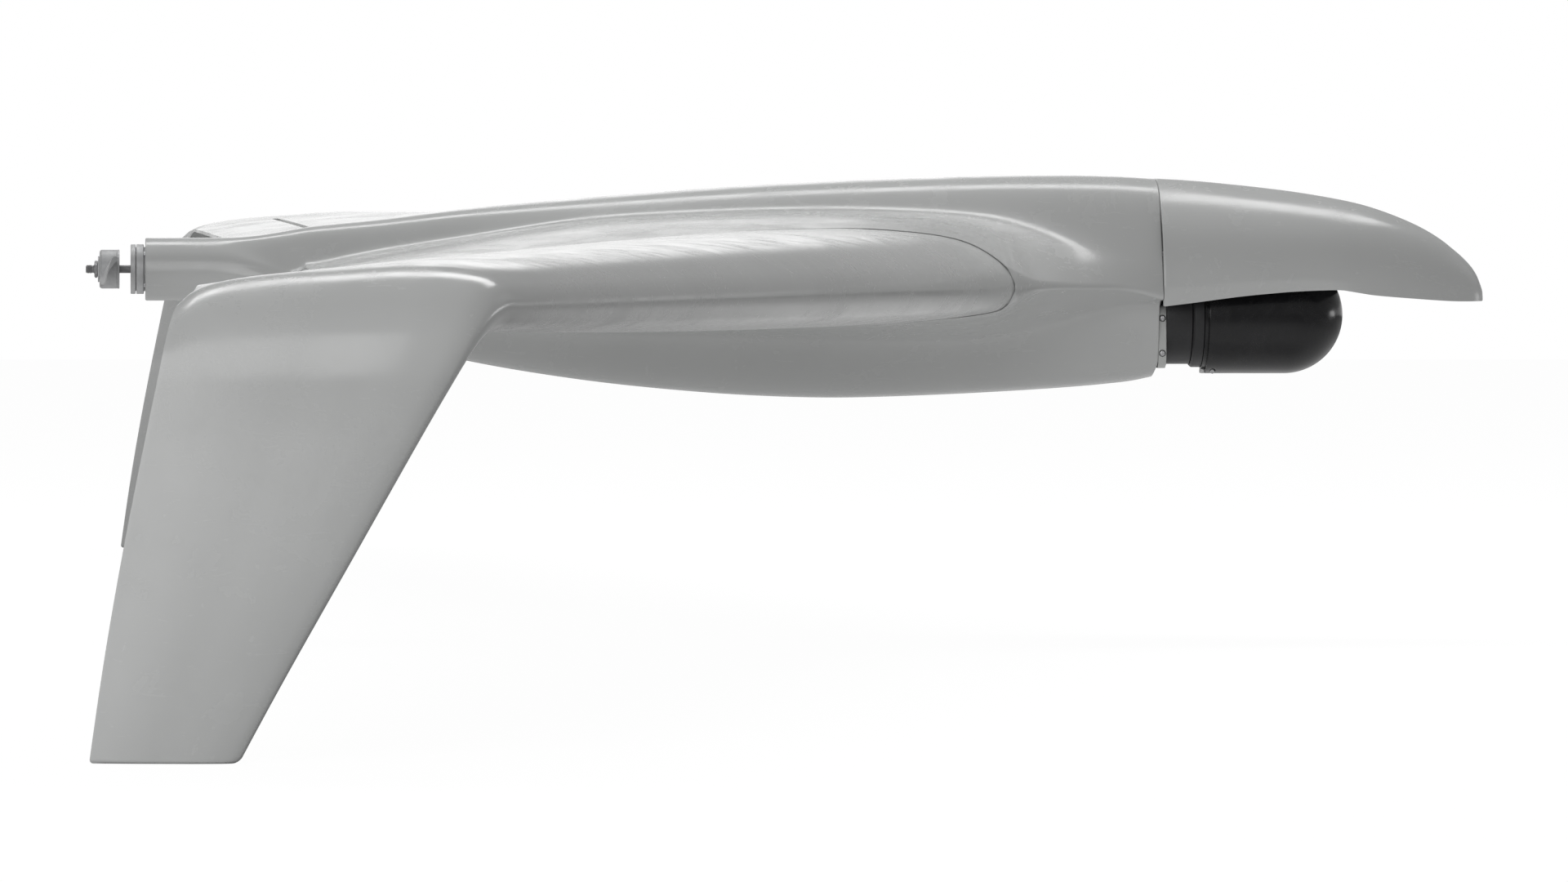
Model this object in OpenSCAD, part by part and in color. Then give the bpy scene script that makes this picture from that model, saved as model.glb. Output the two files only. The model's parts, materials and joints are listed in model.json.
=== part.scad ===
// Small flying-wing aircraft: a moulded centre body with plug-in swept wings,
// down-turned tip fins, a pusher motor in a tail tube, a beak-shaped nose
// fairing and a rolling sensor turret under it.
// Axes: +X nose, +Y left wing, +Z up. Millimetres.
// Stations are written from the tail tube's rear face (x = 0) and the thrust
// line (z = 0); every sub-part is then moved to the object's origin, which is
// the bottom centre of its box.

/* [Wing] */
// Spanwise position of each fin's mid plane
half_span = 1100; // [1060:5:1140]
// Radius of the spar's bend from wing to fin
bend_r = 34; // [30:1:40]
// Upward slope of the wing's leading edge, mm per mm
dihedral = 0.0095; // [0:0.0005:0.02]
// Thickness of the tip section as a multiple of the root section's
tip_thick = 1.44; // [1.2:0.02:1.6]
// Twist of the tip section, as trailing edge rise over chord
washout = 0.03; // [0.02:0.005:0.035]
// Facets of one side of the wing section
wing_facets = 16; // [12:1:20]

/* [Elevons] */
// Chord of each elevon aft of its hinge
elevon_chord = 52; // [46:1:56]
// Inboard end of the elevon cut-out
elevon_in = 500; // [460:5:540]
// Outboard end of the elevon cut-out
elevon_out = 1000; // [960:5:1010]
// Gap at each end of an elevon
elevon_gap = 1; // [0.8:0.1:1.5]
// Length of the servo arm and of the control horn, pivot to pivot
arm_len = 30; // [29.5:0.5:31]

/* [Centre body] */
// Wall over the hull's cavity, top and bottom
wall = 3; // [2.5:0.1:4]
// Outer radius of the tail tube
tube_r = 18; // [17.5:0.1:18.5]
// Gap at the wing seams
seam = 0.3; // [0.2:0.05:0.6]

/* [Motor and propeller] */
// Propeller diameter
prop_d = 254; // [228:1:280]
// Propeller pitch
prop_pitch = 165; // [130:5:180]
// Motor shaft radius
shaft_r = 2.25; // [2.2:0.05:2.3]
// Radius of the shaft's threaded end
thread_r = 2.5; // [2.4:0.05:2.6]
// Radius of the motor's visible end discs
motor_r = 14.2; // [13.8:0.1:14.6]

/* [Nose and turret] */
// Wall of the nose fairing
nose_wall = 2.2; // [1.8:0.1:2.6]
// Radius of the turret dome
dome_r = 33.7; // [33:0.1:34]
// Height of the turret axis over the thrust line
turret_z = -25.9; // [-26.5:0.1:-25]

/* [Spars] */
// Radius of the main joiner tube
spar_r = 6; // [5:0.5:7]
// Length of the main joiner tube in each wing
spar_reach = 270; // [200:10:290]
// Radius of the rear joiner tube
rear_spar_r = 4; // [3:0.5:4.5]

/* [Hidden] */
root_y = 150;         // wing root plane
root_z = -7.2;        // height of the wing path at the root
body_nose_x = 577.7;  // front face of the centre body
nose_tip_x = 765.8;
shaft_end_x = -34.1;
foot_z = -209.4;      // bottom of the fins
centre_x = (nose_tip_x + shaft_end_x) / 2;
clearance = 0.05;     // radial, round rods and pins in their holes
snug = 0.02;          // radial, for tighter fits
sides = [-1, 1];      // right, left
$fn = 64;

foam = [0.80, 0.81, 0.80];
carbon = [0.12, 0.12, 0.13];
brass = [0.75, 0.60, 0.15];
servo_black = [0.13, 0.13, 0.14];
arm_white = [0.90, 0.90, 0.88];
horn_black = [0.15, 0.15, 0.15];

// ---------- curves ----------
function mix(a, b, t) = a + (b - a) * t;
function clamp01(t) = min(1, max(0, t));
function ease(t) = let (c = clamp01(t)) c * c * (3 - 2 * c);
function segment(table, x, i = 0) =
  i >= len(table) - 2 || x < table[i + 1][0] ? i : segment(table, x, i + 1);
function secant(table, i) =
  (table[i + 1][1] - table[i][1]) / (table[i + 1][0] - table[i][0]);
// Slope at a station: harmonic mean of its neighbours, flat at a turning point
function slope(table, i) = i == 0 ? secant(table, 0)
  : i == len(table) - 1 ? secant(table, len(table) - 2)
  : let (a = secant(table, i - 1), b = secant(table, i)) a * b <= 0 ? 0 : 2 * a * b / (a + b);
// Curve from point p to q, leaving along tangent a and arriving along b
function bend_to(p, q, a, b, t) = p * (2 * t * t * t - 3 * t * t + 1)
  + a * (t * t * t - 2 * t * t + t) + q * (3 * t * t - 2 * t * t * t) + b * (t * t * t - t * t);
// Monotone curve through a station table of [x, value]
function through(table, x) = let (i = segment(table, x),
    step = table[i + 1][0] - table[i][0], t = clamp01((x - table[i][0]) / step))
  bend_to(table[i][1], table[i + 1][1], step * slope(table, i), step * slope(table, i + 1), t);
// Uniform cubic B-spline over control points that already hold their phantoms
function spline_point(p, k, t) = (p[k] * pow(1 - t, 3)
  + p[k + 1] * (3 * pow(t, 3) - 6 * t * t + 4)
  + p[k + 2] * (-3 * pow(t, 3) + 3 * t * t + 3 * t + 1) + p[k + 3] * pow(t, 3)) / 6;
function spline(p, steps) = [
  for (k = [0 : len(p) - 4]) for (j = [0 : steps - 1]) spline_point(p, k, j / steps),
  spline_point(p, len(p) - 4, 1)];

// ---------- shapes ----------
// Skin between equal rings; closed by end faces, or by joining last to first.
// flip reverses the faces, for rings that wind the other way.
module skin(rings, looped = false, flip = false) {
  n = len(rings[0]);
  m = len(rings);
  points = [for (r = rings) for (q = r) q];
  last = looped ? m - 1 : m - 2;
  walls = [for (i = [0 : last]) for (j = [0 : n - 1])
    let (a = i * n + j, b = i * n + (j + 1) % n,
      c = ((i + 1) % m) * n + (j + 1) % n, d = ((i + 1) % m) * n + j)
    for (f = [[a, b, c], [a, c, d]]) flip ? [f[2], f[1], f[0]] : f];
  start_cap = [for (j = [0 : n - 1]) flip ? j : n - 1 - j];
  end_cap = [for (j = [0 : n - 1]) (m - 1) * n + (flip ? n - 1 - j : j)];
  polyhedron(points = points,
    faces = looped ? walls : concat(walls, [start_cap, end_cap]), convexity = 6);
}
module placed() translate([-centre_x, 0, -foot_z]) children();
// Places a part drawn for the left wing; s = -1 mirrors it to the right
module on_side(s) placed() {
  if (s > 0) children();
  else mirror([0, 1, 0]) children();
}
module along_x(x0, x1, r, fn = 64)
  translate([x0, 0, 0]) rotate([0, 90, 0]) cylinder(r = r, h = x1 - x0, $fn = fn);
module along_y(y0, y1, r, fn = 48)
  translate([0, y0, 0]) rotate([-90, 0, 0]) cylinder(r = r, h = y1 - y0, $fn = fn);
module box(low, high) translate(low) cube(high - low);
// Cylinder and box given by distances from the centre plane, on side s
module side_cyl(s, inner, outer, r, fn)
  along_y(s > 0 ? inner : -outer, s > 0 ? outer : -inner, r, fn);
module side_box(s, low, high)
  box([low[0], s > 0 ? low[1] : -high[1], low[2]], [high[0], s > 0 ? high[1] : -low[1], high[2]]);
// Open tube centred on y = 0
module tube_y(half_len, r, thick) difference() {
  along_y(-half_len, half_len, r);
  along_y(-half_len - 1, half_len + 1, r - thick);
}
// Solid of revolution about x from a profile of [x, radius]
module lathe(profile)
  rotate([0, 90, 0]) rotate_extrude($fn = 72) polygon([for (p = profile) [p[1], p[0]]]);
// Straight round rod between two points
module wire(start, end, r) translate(start)
  let (d = end - start, length = norm(d))
    rotate([0, acos(d[2] / length), atan2(d[1], d[0])]) cylinder(r = r, h = length, $fn = 20);
// Screw along y; shank, head and slot are [inner, outer] distances
module slotted_screw(s, shank, head, head_r, slot, slot_half) {
  side_cyl(s, shank[0], shank[1], 1, 24);
  difference() {
    side_cyl(s, head[0], head[1], head_r, 24);
    side_box(s, [-0.22, slot[0], -slot_half], [0.22, slot[1], slot_half]);
  }
}

// ---------- wing section ----------
// [square root of chord fraction, surface height over chord]
foil_upper = [
  [0, 0], [0.112, 0.0280], [0.158, 0.0393], [0.288, 0.0683], [0.387, 0.0787],
  [0.480, 0.0832], [0.583, 0.0812], [0.648, 0.0762], [0.721, 0.0668], [0.794, 0.0578],
  [0.843, 0.0515], [0.922, 0.0390], [1, 0.0246]];
foil_lower = [
  [0, 0], [0.100, -0.0250], [0.141, -0.0335], [0.237, -0.0415], [0.355, -0.0485],
  [0.447, -0.0530], [0.583, -0.0552], [0.762, -0.0560], [0.812, -0.0530], [0.866, -0.0440],
  [0.922, -0.0255], [0.975, 0.0030], [1, 0.0170]];
// Height of the middle of the blunt trailing edge
foil_tail = (foil_upper[len(foil_upper) - 1][1] + foil_lower[len(foil_lower) - 1][1]) / 2;
// Height over chord at chord fraction t; side is 1 above, -1 below.
// thick scales the thickness, symmetry removes the camber, twist lifts the tail.
function foil(t, side, thick, symmetry, twist) =
  let (upper = through(foil_upper, sqrt(t)), lower = through(foil_lower, sqrt(t)))
  (upper + lower) / 2 * (1 - symmetry) + side * thick * (upper - lower) / 2 + twist * t;

// ---------- wing path ----------
// The path runs out from the root, round the bend and down the fin
flat_len = half_span - bend_r - root_y;
arc_len = bend_r * PI / 2;
tip_z = root_z + dihedral * flat_len;
fin_len = tip_z - bend_r - foot_z;
fin_start = flat_len + arc_len;
path_end = fin_start + fin_len;
// [path length, x] of the leading and trailing edges
leading_x = [
  [0, 485.7], [425, 344.9], [850, 204.1], [890, 190], [916, 178.6], [943, 163.3],
  [969.4, 147.2], [1050, 101.4], [1120, 61.9], [1160, 40.6]];
trailing_x = [
  [0, 92], [425, 60.7], [850, 29.4], [880, 26.2], [905, 22.2], [920, 19.6], [930, 18],
  [940, 15.9], [960, 12], [980, 7.8], [1000, 3.7], [1048, -5.8], [1100, -14.8], [1160, -23.4]];
root_lead_x = leading_x[0][1];
root_trail_x = trailing_x[0][1];
function chord_at(path) = through(leading_x, path) - through(trailing_x, path);
function chord_frac(path, x) = (through(leading_x, path) - x) / chord_at(path);
function bend_angle(path) = 90 * clamp01((path - flat_len) / arc_len);
function path_yz(path) = path <= flat_len ? [root_y + path, root_z + dihedral * path]
  : let (angle = bend_angle(path), down = max(0, path - fin_start))
    [half_span - bend_r + bend_r * sin(angle), tip_z - bend_r + bend_r * cos(angle) - down];
fin_thick = 0.95;
function thick_at(path) = path < flat_len ? mix(1, tip_thick, path / flat_len)
  : mix(tip_thick, fin_thick, ease((path - flat_len) / (arc_len * 1.6)));
function symmetry_at(path) = ease((path - flat_len + 20) / (arc_len + 20));
function twist_at(path) = path < flat_len ? washout * pow(path / flat_len, 2.6)
  : washout * (1 - ease((path - flat_len) / arc_len));
// How far the trailing edge curls down to the path where the tip bends
curl_start = 852;
curl_len = 53;
curl_reach = 6.5;
function curl(path, t, chord) = ease((path - curl_start) / curl_len)
  * (twist_at(path) + foil_tail * (1 - symmetry_at(path))) * exp(-(1 - t) * chord / curl_reach);
// Point of the wing skin at a path length and chord fraction t
function wing_point(path, t, side) = let (
    angle = bend_angle(path), chord = chord_at(path), yz = path_yz(path),
    height = chord * (foil(t, side, thick_at(path), symmetry_at(path), twist_at(path))
      - curl(path, t, chord)))
  [through(leading_x, path) - t * chord, yz[0] + height * sin(angle), yz[1] + height * cos(angle)];
function facet_t(i) = (1 - cos(180 * i / wing_facets)) / 2;
function wing_ring(path) = concat(
  [for (i = [wing_facets : -1 : 0]) wing_point(path, facet_t(i), 1)],
  [for (i = [1 : wing_facets]) wing_point(path, facet_t(i), -1)]);
wing_stations = concat(
  [seam / 2, 60, 140, 230, 350, 480, 610, 740, 850, 872, 890, 905, flat_len],
  [for (i = [1 : 6]) flat_len + arc_len * i / 6],
  [fin_start + 14, fin_start + 40, fin_start + 90, path_end - 40, path_end]);

// ---------- elevon hinge ----------
hinge_drop = 2.4;  // hinge axis below the upper skin
hinge_rod_r = 1;
elevon_nose_r = 2.2;
function tail_x(y) = through(trailing_x, y - root_y);
function hinge_x(y) = tail_x(y) + elevon_chord;
function skin_z(y, x, side) = wing_point(y - root_y, chord_frac(y - root_y, x), side)[2];
function hinge_end(y) = [hinge_x(y), y, skin_z(y, hinge_x(y), 1) - hinge_drop];
hinge_in = hinge_end(elevon_in);
hinge_out = hinge_end(elevon_out);
hinge_line = hinge_out - hinge_in;
hinge_len = norm(hinge_line);
hinge_yaw = atan(-hinge_line[0] / hinge_line[1]);
hinge_tilt = atan(hinge_line[2] / norm([hinge_line[0], hinge_line[1]]));
function hinge_point(y) = hinge_in + hinge_line * (y - elevon_in) / (elevon_out - elevon_in);
// Frame on the hinge axis: y along the axis, x forward
module on_hinge(y) translate(hinge_point(y)) rotate([hinge_tilt, 0, hinge_yaw]) children();
// Upper skin forward, round the nose, then the lower skin back
function elevon_ring(y) = let (
    hinge = hinge_point(y), tail = tail_x(y) + 0.1,
    low_front = hinge[0] - (hinge[2] - skin_z(y, hinge[0], -1)) * 0.60)
  concat(
    [for (i = [0 : 4]) let (x = mix(tail, hinge[0] - 2, i / 4)) [x, y, skin_z(y, x, 1)]],
    [for (a = [80 : -28 : -60])
      [hinge[0] + elevon_nose_r * cos(a), y, hinge[2] + elevon_nose_r * sin(a)]],
    [for (i = [0 : 4]) let (x = mix(low_front, tail, i / 4)) [x, y, skin_z(y, x, -1)]]);

// ---------- spar and plug places ----------
main_spar_at = [300, 0, -3];
rear_spar_at = [150, 0, -3.5];
rear_spar_reach = 130;  // length of the rear joiner tube in each wing
plug_x = [235, 255];
plug_z = [-10, 0];
plug_depth = 12;        // into the body and into the wing
plug_gap = 0.1;
// Block of the plug's section on side s, grown all round by gap
module plug_block(s, inner, outer, gap = 0)
  side_box(s, [plug_x[0] - gap, inner, plug_z[0] - gap], [plug_x[1] + gap, outer, plug_z[1] + gap]);

// ---------- hull ----------
// Hull tables are [x, value]; widths are half widths
top_line = [
  [0, 18], [35.6, 18.2], [70, 22], [104.8, 25.5], [139.4, 29], [170.7, 33.3], [216, 37.7],
  [281.6, 43.3], [356.5, 48.5], [431, 51.7], [506, 53.6], [543.6, 53.6], [577.7, 51.7]];
keel_line = [
  [0, -18], [30, -18], [50, -20], [100, -33], [150, -45], [206.8, -56.8], [281.6, -67.1],
  [356.5, -72.7], [393.9, -73.6], [431, -72.7], [506, -69], [560, -64.6], [577.7, -61.5]];
// Width of the top hump, and height of the fillet at its foot
hump_w = [[0, 16], [35, 16], [100, 18], [178, 24], [290, 32], [404, 38], [525, 43], [577.7, 45]];
fillet_z = [
  [0, 0], [35, 0], [80, -4], [92, -3.5], [108, 2], [178, 14], [270, 27.5], [389, 31],
  [440, 29.5], [497, 24.5], [536, 13.5], [577.7, 3]];
// Width of the keel, and height of its upper corner
keel_w = [
  [0, 14], [35, 14], [100, 17], [178, 20], [300, 26], [400, 29], [500, 29.5], [577.7, 28.5]];
keel_top = [
  [0, -6], [35, -6], [100, -14], [150, -22], [227, -31], [319, -33], [392, -35],
  [466, -36], [510, -30], [541, -22], [577.7, -17.5]];
// Side edge of the hull: its y, upper z and lower z; the wing section
// replaces the z values along the root
edge_y = [
  [0, 18], [35, 18], [60, 19.5], [80, 21], [86, 27], [89, 42], [91, 90], [92, 150],
  [480, 150], [485.7, 141.5], [492, 132], [500, 119], [515, 97.5], [530, 79], [545, 65.5],
  [556, 60], [566, 57.4], [577.7, 56.3]];
edge_upper = [
  [0, -2], [60, -3], [80, -5.4], [86, -3], [92, 2.5], [480, 2.5], [485.7, 2.5], [492, -0.8],
  [500, -3.6], [515, -5.1], [530, -5.8], [556, -7], [577.7, -10]];
edge_lower = [
  [0, -10], [60, -11], [80, -11], [86, -7], [92, -0.5], [480, -16.5], [485.7, -16.5],
  [492, -13.2], [500, -10.8], [515, -10], [530, -10.4], [556, -11.8], [577.7, -15]];
cavity_w = [[0, 14], [100, 15], [178, 19], [290, 26], [404, 31], [525, 34], [577.7, 35]];
hull_stations = [
  0, 35, 50, 65, 75, 82, 86, 89, 90.8, 92, 104, 125, 150, 185, 225, 270, 320, 370, 415, 448,
  465, 475, 480, 485.7, 492, 500, 515, 530, 545, 556, 566, body_nose_x];
cavity_stations = [body_nose_x, 530, 470, 400, 330, 260, 190, 130, 100, 80, 62, 0];
hull_steps = 2;    // spline steps per control point
seam_end_x = 480;  // where the edge begins to leave the root section
tube_bore_r = 16;
function seam_exit(x) = (x - seam_end_x) / (root_lead_x - seam_end_x);
function root_skin_z(x, side) = let (chord = root_lead_x - root_trail_x)
  root_z + chord * foil(clamp01((root_lead_x - x) / chord), side, 1, 0, 0);
function edge_z(x, table, side) = x < root_trail_x || x > root_lead_x ? through(table, x)
  : x > seam_end_x
    ? mix(root_skin_z(seam_end_x, side), through(table, root_lead_x), seam_exit(x))
  : root_skin_z(x, side);
// Control points that carry a spline square across the centre plane
function mirrored(p) = [-p[0], p[1]];
function centre_point(z, near) = [0, 1.5 * z - 0.5 * near[1]];
// Half section blended onto a circle; blend 1 keeps the line
function onto_circle(line, r, blend) = let (last = len(line) - 1)
  [for (i = [0 : last]) let (a = 90 - 180 * i / last)
    line[i] * blend + [r * cos(a), r * sin(a)] * (1 - blend)];
// Half section from top centre to bottom centre, as [y, z]
function hull_half(x) = let (
    top = through(top_line, x), keel = through(keel_line, x), hump = through(hump_w, x),
    foot = through(fillet_z, x), rise = top - foot,
    reach = min(root_y - seam / 2, through(edge_y, x)),
    edge_hi = [reach, edge_z(x, edge_upper, 1)], edge_lo = [reach, edge_z(x, edge_lower, -1)],
    // how far the rounded edge bulges; none along the wing root
    bulge = 1.8 * (edge_hi[1] - edge_lo[1])
      * (x > seam_end_x ? clamp01(seam_exit(x)) : clamp01((root_trail_x - x) / 6)),
    keel_half = through(keel_w, x), corner_z = through(keel_top, x), depth = corner_z - keel,
    corner = [keel_half + 14 * clamp01((reach - keel_half) / 60), corner_z],
    hump_foot = [1.12 * hump, foot + 0.04 * rise],
    crown = (reach - hump_foot[0]) * clamp01((x - 100) / 100),
    near_top = [0.38 * hump, top - 0.02 * rise],
    near_keel = [0.45 * keel_half, keel + 0.005 * depth],
    before_edge = mix(hump_foot, edge_hi, 0.70) + [0, 0.02 * crown],
    after_edge = mix(edge_lo, corner, 0.35),
    upper = [mirrored(near_top), centre_point(top, near_top), near_top,
      [0.72 * hump, top - 0.16 * rise], [0.95 * hump, top - 0.60 * rise], hump_foot,
      mix(hump_foot, edge_hi, 0.35) + [0, 0.03 * crown], before_edge, edge_hi,
      2 * edge_hi - before_edge],
    lower = [2 * edge_lo - after_edge, edge_lo, after_edge, mix(edge_lo, corner, 0.78),
      [corner[0] - 0.45 * (corner[0] - keel_half), corner_z - 0.06 * depth],
      [keel_half, corner_z - 0.42 * depth], [0.86 * keel_half, keel + 0.10 * depth],
      near_keel, centre_point(keel, near_keel), mirrored(near_keel)],
    leaving = edge_hi - before_edge, arriving = after_edge - edge_lo,
    edge = [for (i = [1 : hull_steps + 1]) bend_to(edge_hi, edge_lo,
      leaving * bulge / norm(leaving), arriving * bulge / norm(arriving), i / (hull_steps + 2))])
  onto_circle(concat(spline(upper, hull_steps), edge, spline(lower, hull_steps)),
    tube_r, ease((x - 35) / 65));
// Half section of the cavity
function cavity_half(x) = let (
    top = through(top_line, x) - wall, floor_z = through(keel_line, x) + wall,
    width = through(cavity_w, x), keel_half = through(keel_w, x) - 4.2,
    near_top = [0.38 * width, top * 0.98], near_floor = [0.45 * keel_half, floor_z],
    upper = [mirrored(near_top), centre_point(top, near_top), near_top,
      [0.72 * width, top * 0.88], [0.95 * width, top * 0.58], [width, top * 0.35],
      [width, top * 0.2], [width, top * 0.08], [width, 0], [width, -top * 0.08]],
    lower = [[width, top * 0.04], [width, -1], [mix(width, keel_half, 0.4), floor_z * 0.15],
      [mix(width, keel_half, 0.8), floor_z * 0.32], [keel_half, floor_z * 0.45],
      [keel_half, floor_z * 0.72], [0.88 * keel_half, floor_z * 0.95],
      near_floor, [0, floor_z], mirrored(near_floor)],
    edge = [for (i = [1 : hull_steps + 1]) [width, -i / (hull_steps + 2)]])
  onto_circle(concat(spline(upper, hull_steps), edge, spline(lower, hull_steps)),
    tube_bore_r, ease((x - 62) / 38));
// Full ring from a half section
function ring(x, half) = concat(
  [for (q = half) [x, q[0], q[1]]],
  [for (i = [len(half) - 2 : -1 : 1]) [x, -half[i][0], half[i][1]]]);

nose_pin_r = 2;
module at_nose_pins() for (s = sides) translate([0, s * 43, 10]) children();
module centre_body() placed() color(foam) difference() {
  skin(concat(
    [for (x = hull_stations) ring(x, hull_half(x))],
    [for (x = cavity_stations) ring(x, cavity_half(x))]), looped = true);
  translate(main_spar_at) along_y(-root_y - 5, root_y + 5, spar_r + clearance);
  translate(rear_spar_at) along_y(-root_y - 5, root_y + 5, rear_spar_r + clearance);
  for (s = sides) plug_block(s, root_y - plug_depth - plug_gap, root_y + 1, plug_gap);
  at_nose_pins() along_x(565, body_nose_x + 1, nose_pin_r + clearance, 32);
}

// ---------- nose fairing ----------
beak_back_x = 578.1;
// [x, value]: top height, lower edge height and half width
beak_top = [
  [beak_back_x, 52], [600, 50.8], [628, 48], [656, 44.7], [684, 40], [698, 37], [712, 32.1],
  [726, 26.5], [740, 19], [754, 7.8], [761, -0.2], [nose_tip_x, -12]];
beak_low = [
  [beak_back_x, -20.3], [595, -18.2], [628, -14], [660, -11.6], [684, -11], [691, -13.3],
  [705, -14.8], [735, -17.2], [751, -18.2], [nose_tip_x, -18.2]];
beak_w = [
  [beak_back_x, 58.4], [600, 57.8], [628, 56], [656, 52.2], [684, 46], [712, 37.5],
  [740, 25], [754, 16], [762, 9], [nose_tip_x, 3]];
beak_stations = [
  beak_back_x, 595, 612, 628, 645, 660, 674, 684, 691, 698, 705, 716, 728, 740, 748,
  754, 759, 763, nose_tip_x];
hollow_stations = [577, 600, 628, 650, 668, 680, 686.5];
beak_facets = 12;
// Half section from top centre to the side's lower edge, set in by inset
function beak_half(x, inset = 0) = let (
    low = through(beak_low, x), width = through(beak_w, x) - inset,
    rise = through(beak_top, x) - inset - low)
  [for (i = [0 : beak_facets]) let (a = 90 * i / beak_facets)
    [width * pow(sin(a), 1.05), low + rise * pow(cos(a), 0.86)]];
function beak_closed_half(x) = let (low = through(beak_low, x))
  concat(beak_half(x), [[through(beak_w, x) * 0.6, low], [0, low]]);
// Half section of the hollow, which rounds off forward of round_x
round_x = 660;
round_len = 27.2;
function hollow_half(station) = let (
    x = max(station, beak_back_x), low = through(beak_low, x), width = through(beak_w, x) - 6,
    height = station > round_x ? sqrt(max(0.02, 1 - pow((station - round_x) / round_len, 2))) : 1,
    narrow = mix(1, 0.8, 1 - height))
  concat([for (q = beak_half(x, nose_wall)) [min(q[0], width) * narrow, mix(low, q[1], height)]],
    [[width * narrow, low - 5], [0, low - 5]]);

module nose_fairing() placed() color(foam) difference() {
  skin([for (x = beak_stations) ring(x, beak_closed_half(x))]);
  // hollow over the turret, open below and behind
  skin([for (x = hollow_stations) ring(x, hollow_half(x))]);
}
module nose_pins() placed() color("silver") at_nose_pins() along_x(566, 580.1, nose_pin_r, 32);

// ---------- spars and sockets ----------
module main_spar() placed() color(carbon)
  translate(main_spar_at) tube_y(root_y + spar_reach, spar_r, 1.2);
module rear_spar() placed() color(carbon)
  translate(rear_spar_at) tube_y(root_y + rear_spar_reach, rear_spar_r, 1);
module rib_sockets() placed() color(brass) for (s = sides) difference() {
  plug_block(s, root_y - plug_depth, root_y - 0.2);
  for (i = [0 : 2]) translate([plug_x[0] + 4 + 6 * i, 0, (plug_z[0] + plug_z[1]) / 2])
    side_cyl(s, root_y - 8, root_y + 1, 1.6, 24);
}

// ---------- motor ----------
mount_screw_r = 1.5;
mount_hole_r = mount_screw_r + clearance;
module at_mount_screws()
  for (a = [45 : 90 : 315]) rotate([a, 0, 0]) translate([0, 0, 12.2]) children();
module motor_mount() placed() color([0.72, 0.73, 0.75]) difference() {
  lathe([[-5.1, 9], [-5.1, motor_r], [-0.9, motor_r], [-0.9, 12.6], [1, 12.6], [1, 15.9],
    [14, 15.9], [14, 9]]);
  at_mount_screws() along_x(-6, 15, mount_hole_r, 24);
}
module motor_end_bell() placed() color([0.78, 0.79, 0.80])
  lathe([[-8.4, 5.52], [-8.4, motor_r - 0.6], [-7.8, motor_r], [-5.6, motor_r], [-5.6, 12.6],
    [-5.15, 12.6], [-5.15, 8.9], [2, 8.9], [2, 5.52]]);
module motor_can() placed() color([0.20, 0.20, 0.22]) difference() {
  lathe([[14.1, 4], [14.1, motor_r], [60, motor_r], [60, 3.2], [58, 3.2], [58, 6.52],
    [52, 6.52], [52, 12.9], [19, 12.9], [19, 4]]);
  at_mount_screws() along_x(13, 19.5, mount_hole_r, 24);
}
module motor_stator() placed() color([0.72, 0.40, 0.20]) difference() {
  along_x(20, 51, 12.8);
  along_x(19, 52, 8.2);
  for (a = [0 : 40 : 320]) rotate([a, 0, 0]) box([19, -0.9, 7], [52, 0.9, 11]);
}
module motor_rotor() placed() color([0.55, 0.56, 0.58]) difference() {
  along_x(21, 50, 7.8);
  along_x(20, 51, shaft_r + snug);
}
// Plain shaft, then the threaded end with a groove round it
module motor_shaft() placed() color([0.80, 0.80, 0.82]) {
  along_x(-26.4, 59.5, shaft_r);
  along_x(-29.6, -26.3, thread_r);
  along_x(-30.7, -29.5, thread_r - 0.4);
  along_x(shaft_end_x, -30.6, thread_r);
}
module motor_bearings() placed() color("silver") {
  difference() {
    along_x(-8.2, -3.2, 5.5);
    along_x(-9, -2, shaft_r + clearance);
  }
  difference() {
    along_x(52.1, 57.9, 6.5);
    along_x(51, 59, shaft_r + clearance);
  }
}
module motor_mount_screws() placed() color([0.15, 0.15, 0.16])
  at_mount_screws() along_x(-4.9, 18.9, mount_screw_r, 24);

// ---------- propeller ----------
prop_x = -20.6;
blade_root_r = 8;
blade_tip_r = 127;  // of the blade as tabled; prop_d scales the radii
// [radius, chord]
blade_chord = [
  [8, 13], [14, 15], [25, 19.5], [45, 22.5], [70, 21.5], [95, 18], [115, 12.5], [124, 8],
  [127, 4]];
blade_facets = 7;   // on each face of the blade section
blade_steps = 14;
// Blade section at fraction t of the way from root to tip
function blade_ring(t) = let (
    r = mix(blade_root_r, blade_tip_r, t), chord = through(blade_chord, r),
    pitch = min(38, atan(prop_pitch / (2 * PI * r))),
    thick = chord * mix(0.16, 0.075, clamp01(t * 1.5)))
  [for (i = [0 : 2 * blade_facets - 1]) let (
      a = 180 * i / blade_facets, along = cos(a) * chord / 2,
      height = sin(a) * thick / 2 * (1 - 0.3 * cos(a)) + 0.05 * chord * (1 - pow(cos(a), 2)))
    [prop_x + along * sin(pitch) - height * cos(pitch), -r * prop_d / (2 * blade_tip_r),
      along * cos(pitch) + height * sin(pitch)]];
module propeller() placed() color([0.62, 0.63, 0.64]) difference() {
  union() {
    along_x(-25.2, -16.2, 11.1);
    for (k = [0, 180]) rotate([k, 0, 0])
      skin([for (i = [0 : blade_steps]) blade_ring(i / blade_steps)], flip = true);
  }
  along_x(-40, 0, shaft_r + 0.03);
}
module disc(x0, x1, r, bore) lathe([[x0, bore], [x0, r], [x1, r], [x1, bore]]);
module prop_backplate() placed() color([0.35, 0.36, 0.38])
  disc(-16.15, -14.85, 11.15, shaft_r + snug);
module prop_washer() placed() color([0.40, 0.41, 0.43]) {
  bore = thread_r + snug;
  lathe([[-26.2, bore], [-26.2, 10.2], [-25.25, 11.15], [-25.25, bore]]);
  disc(-27.15, -26.25, 7.4, bore);
}
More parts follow.
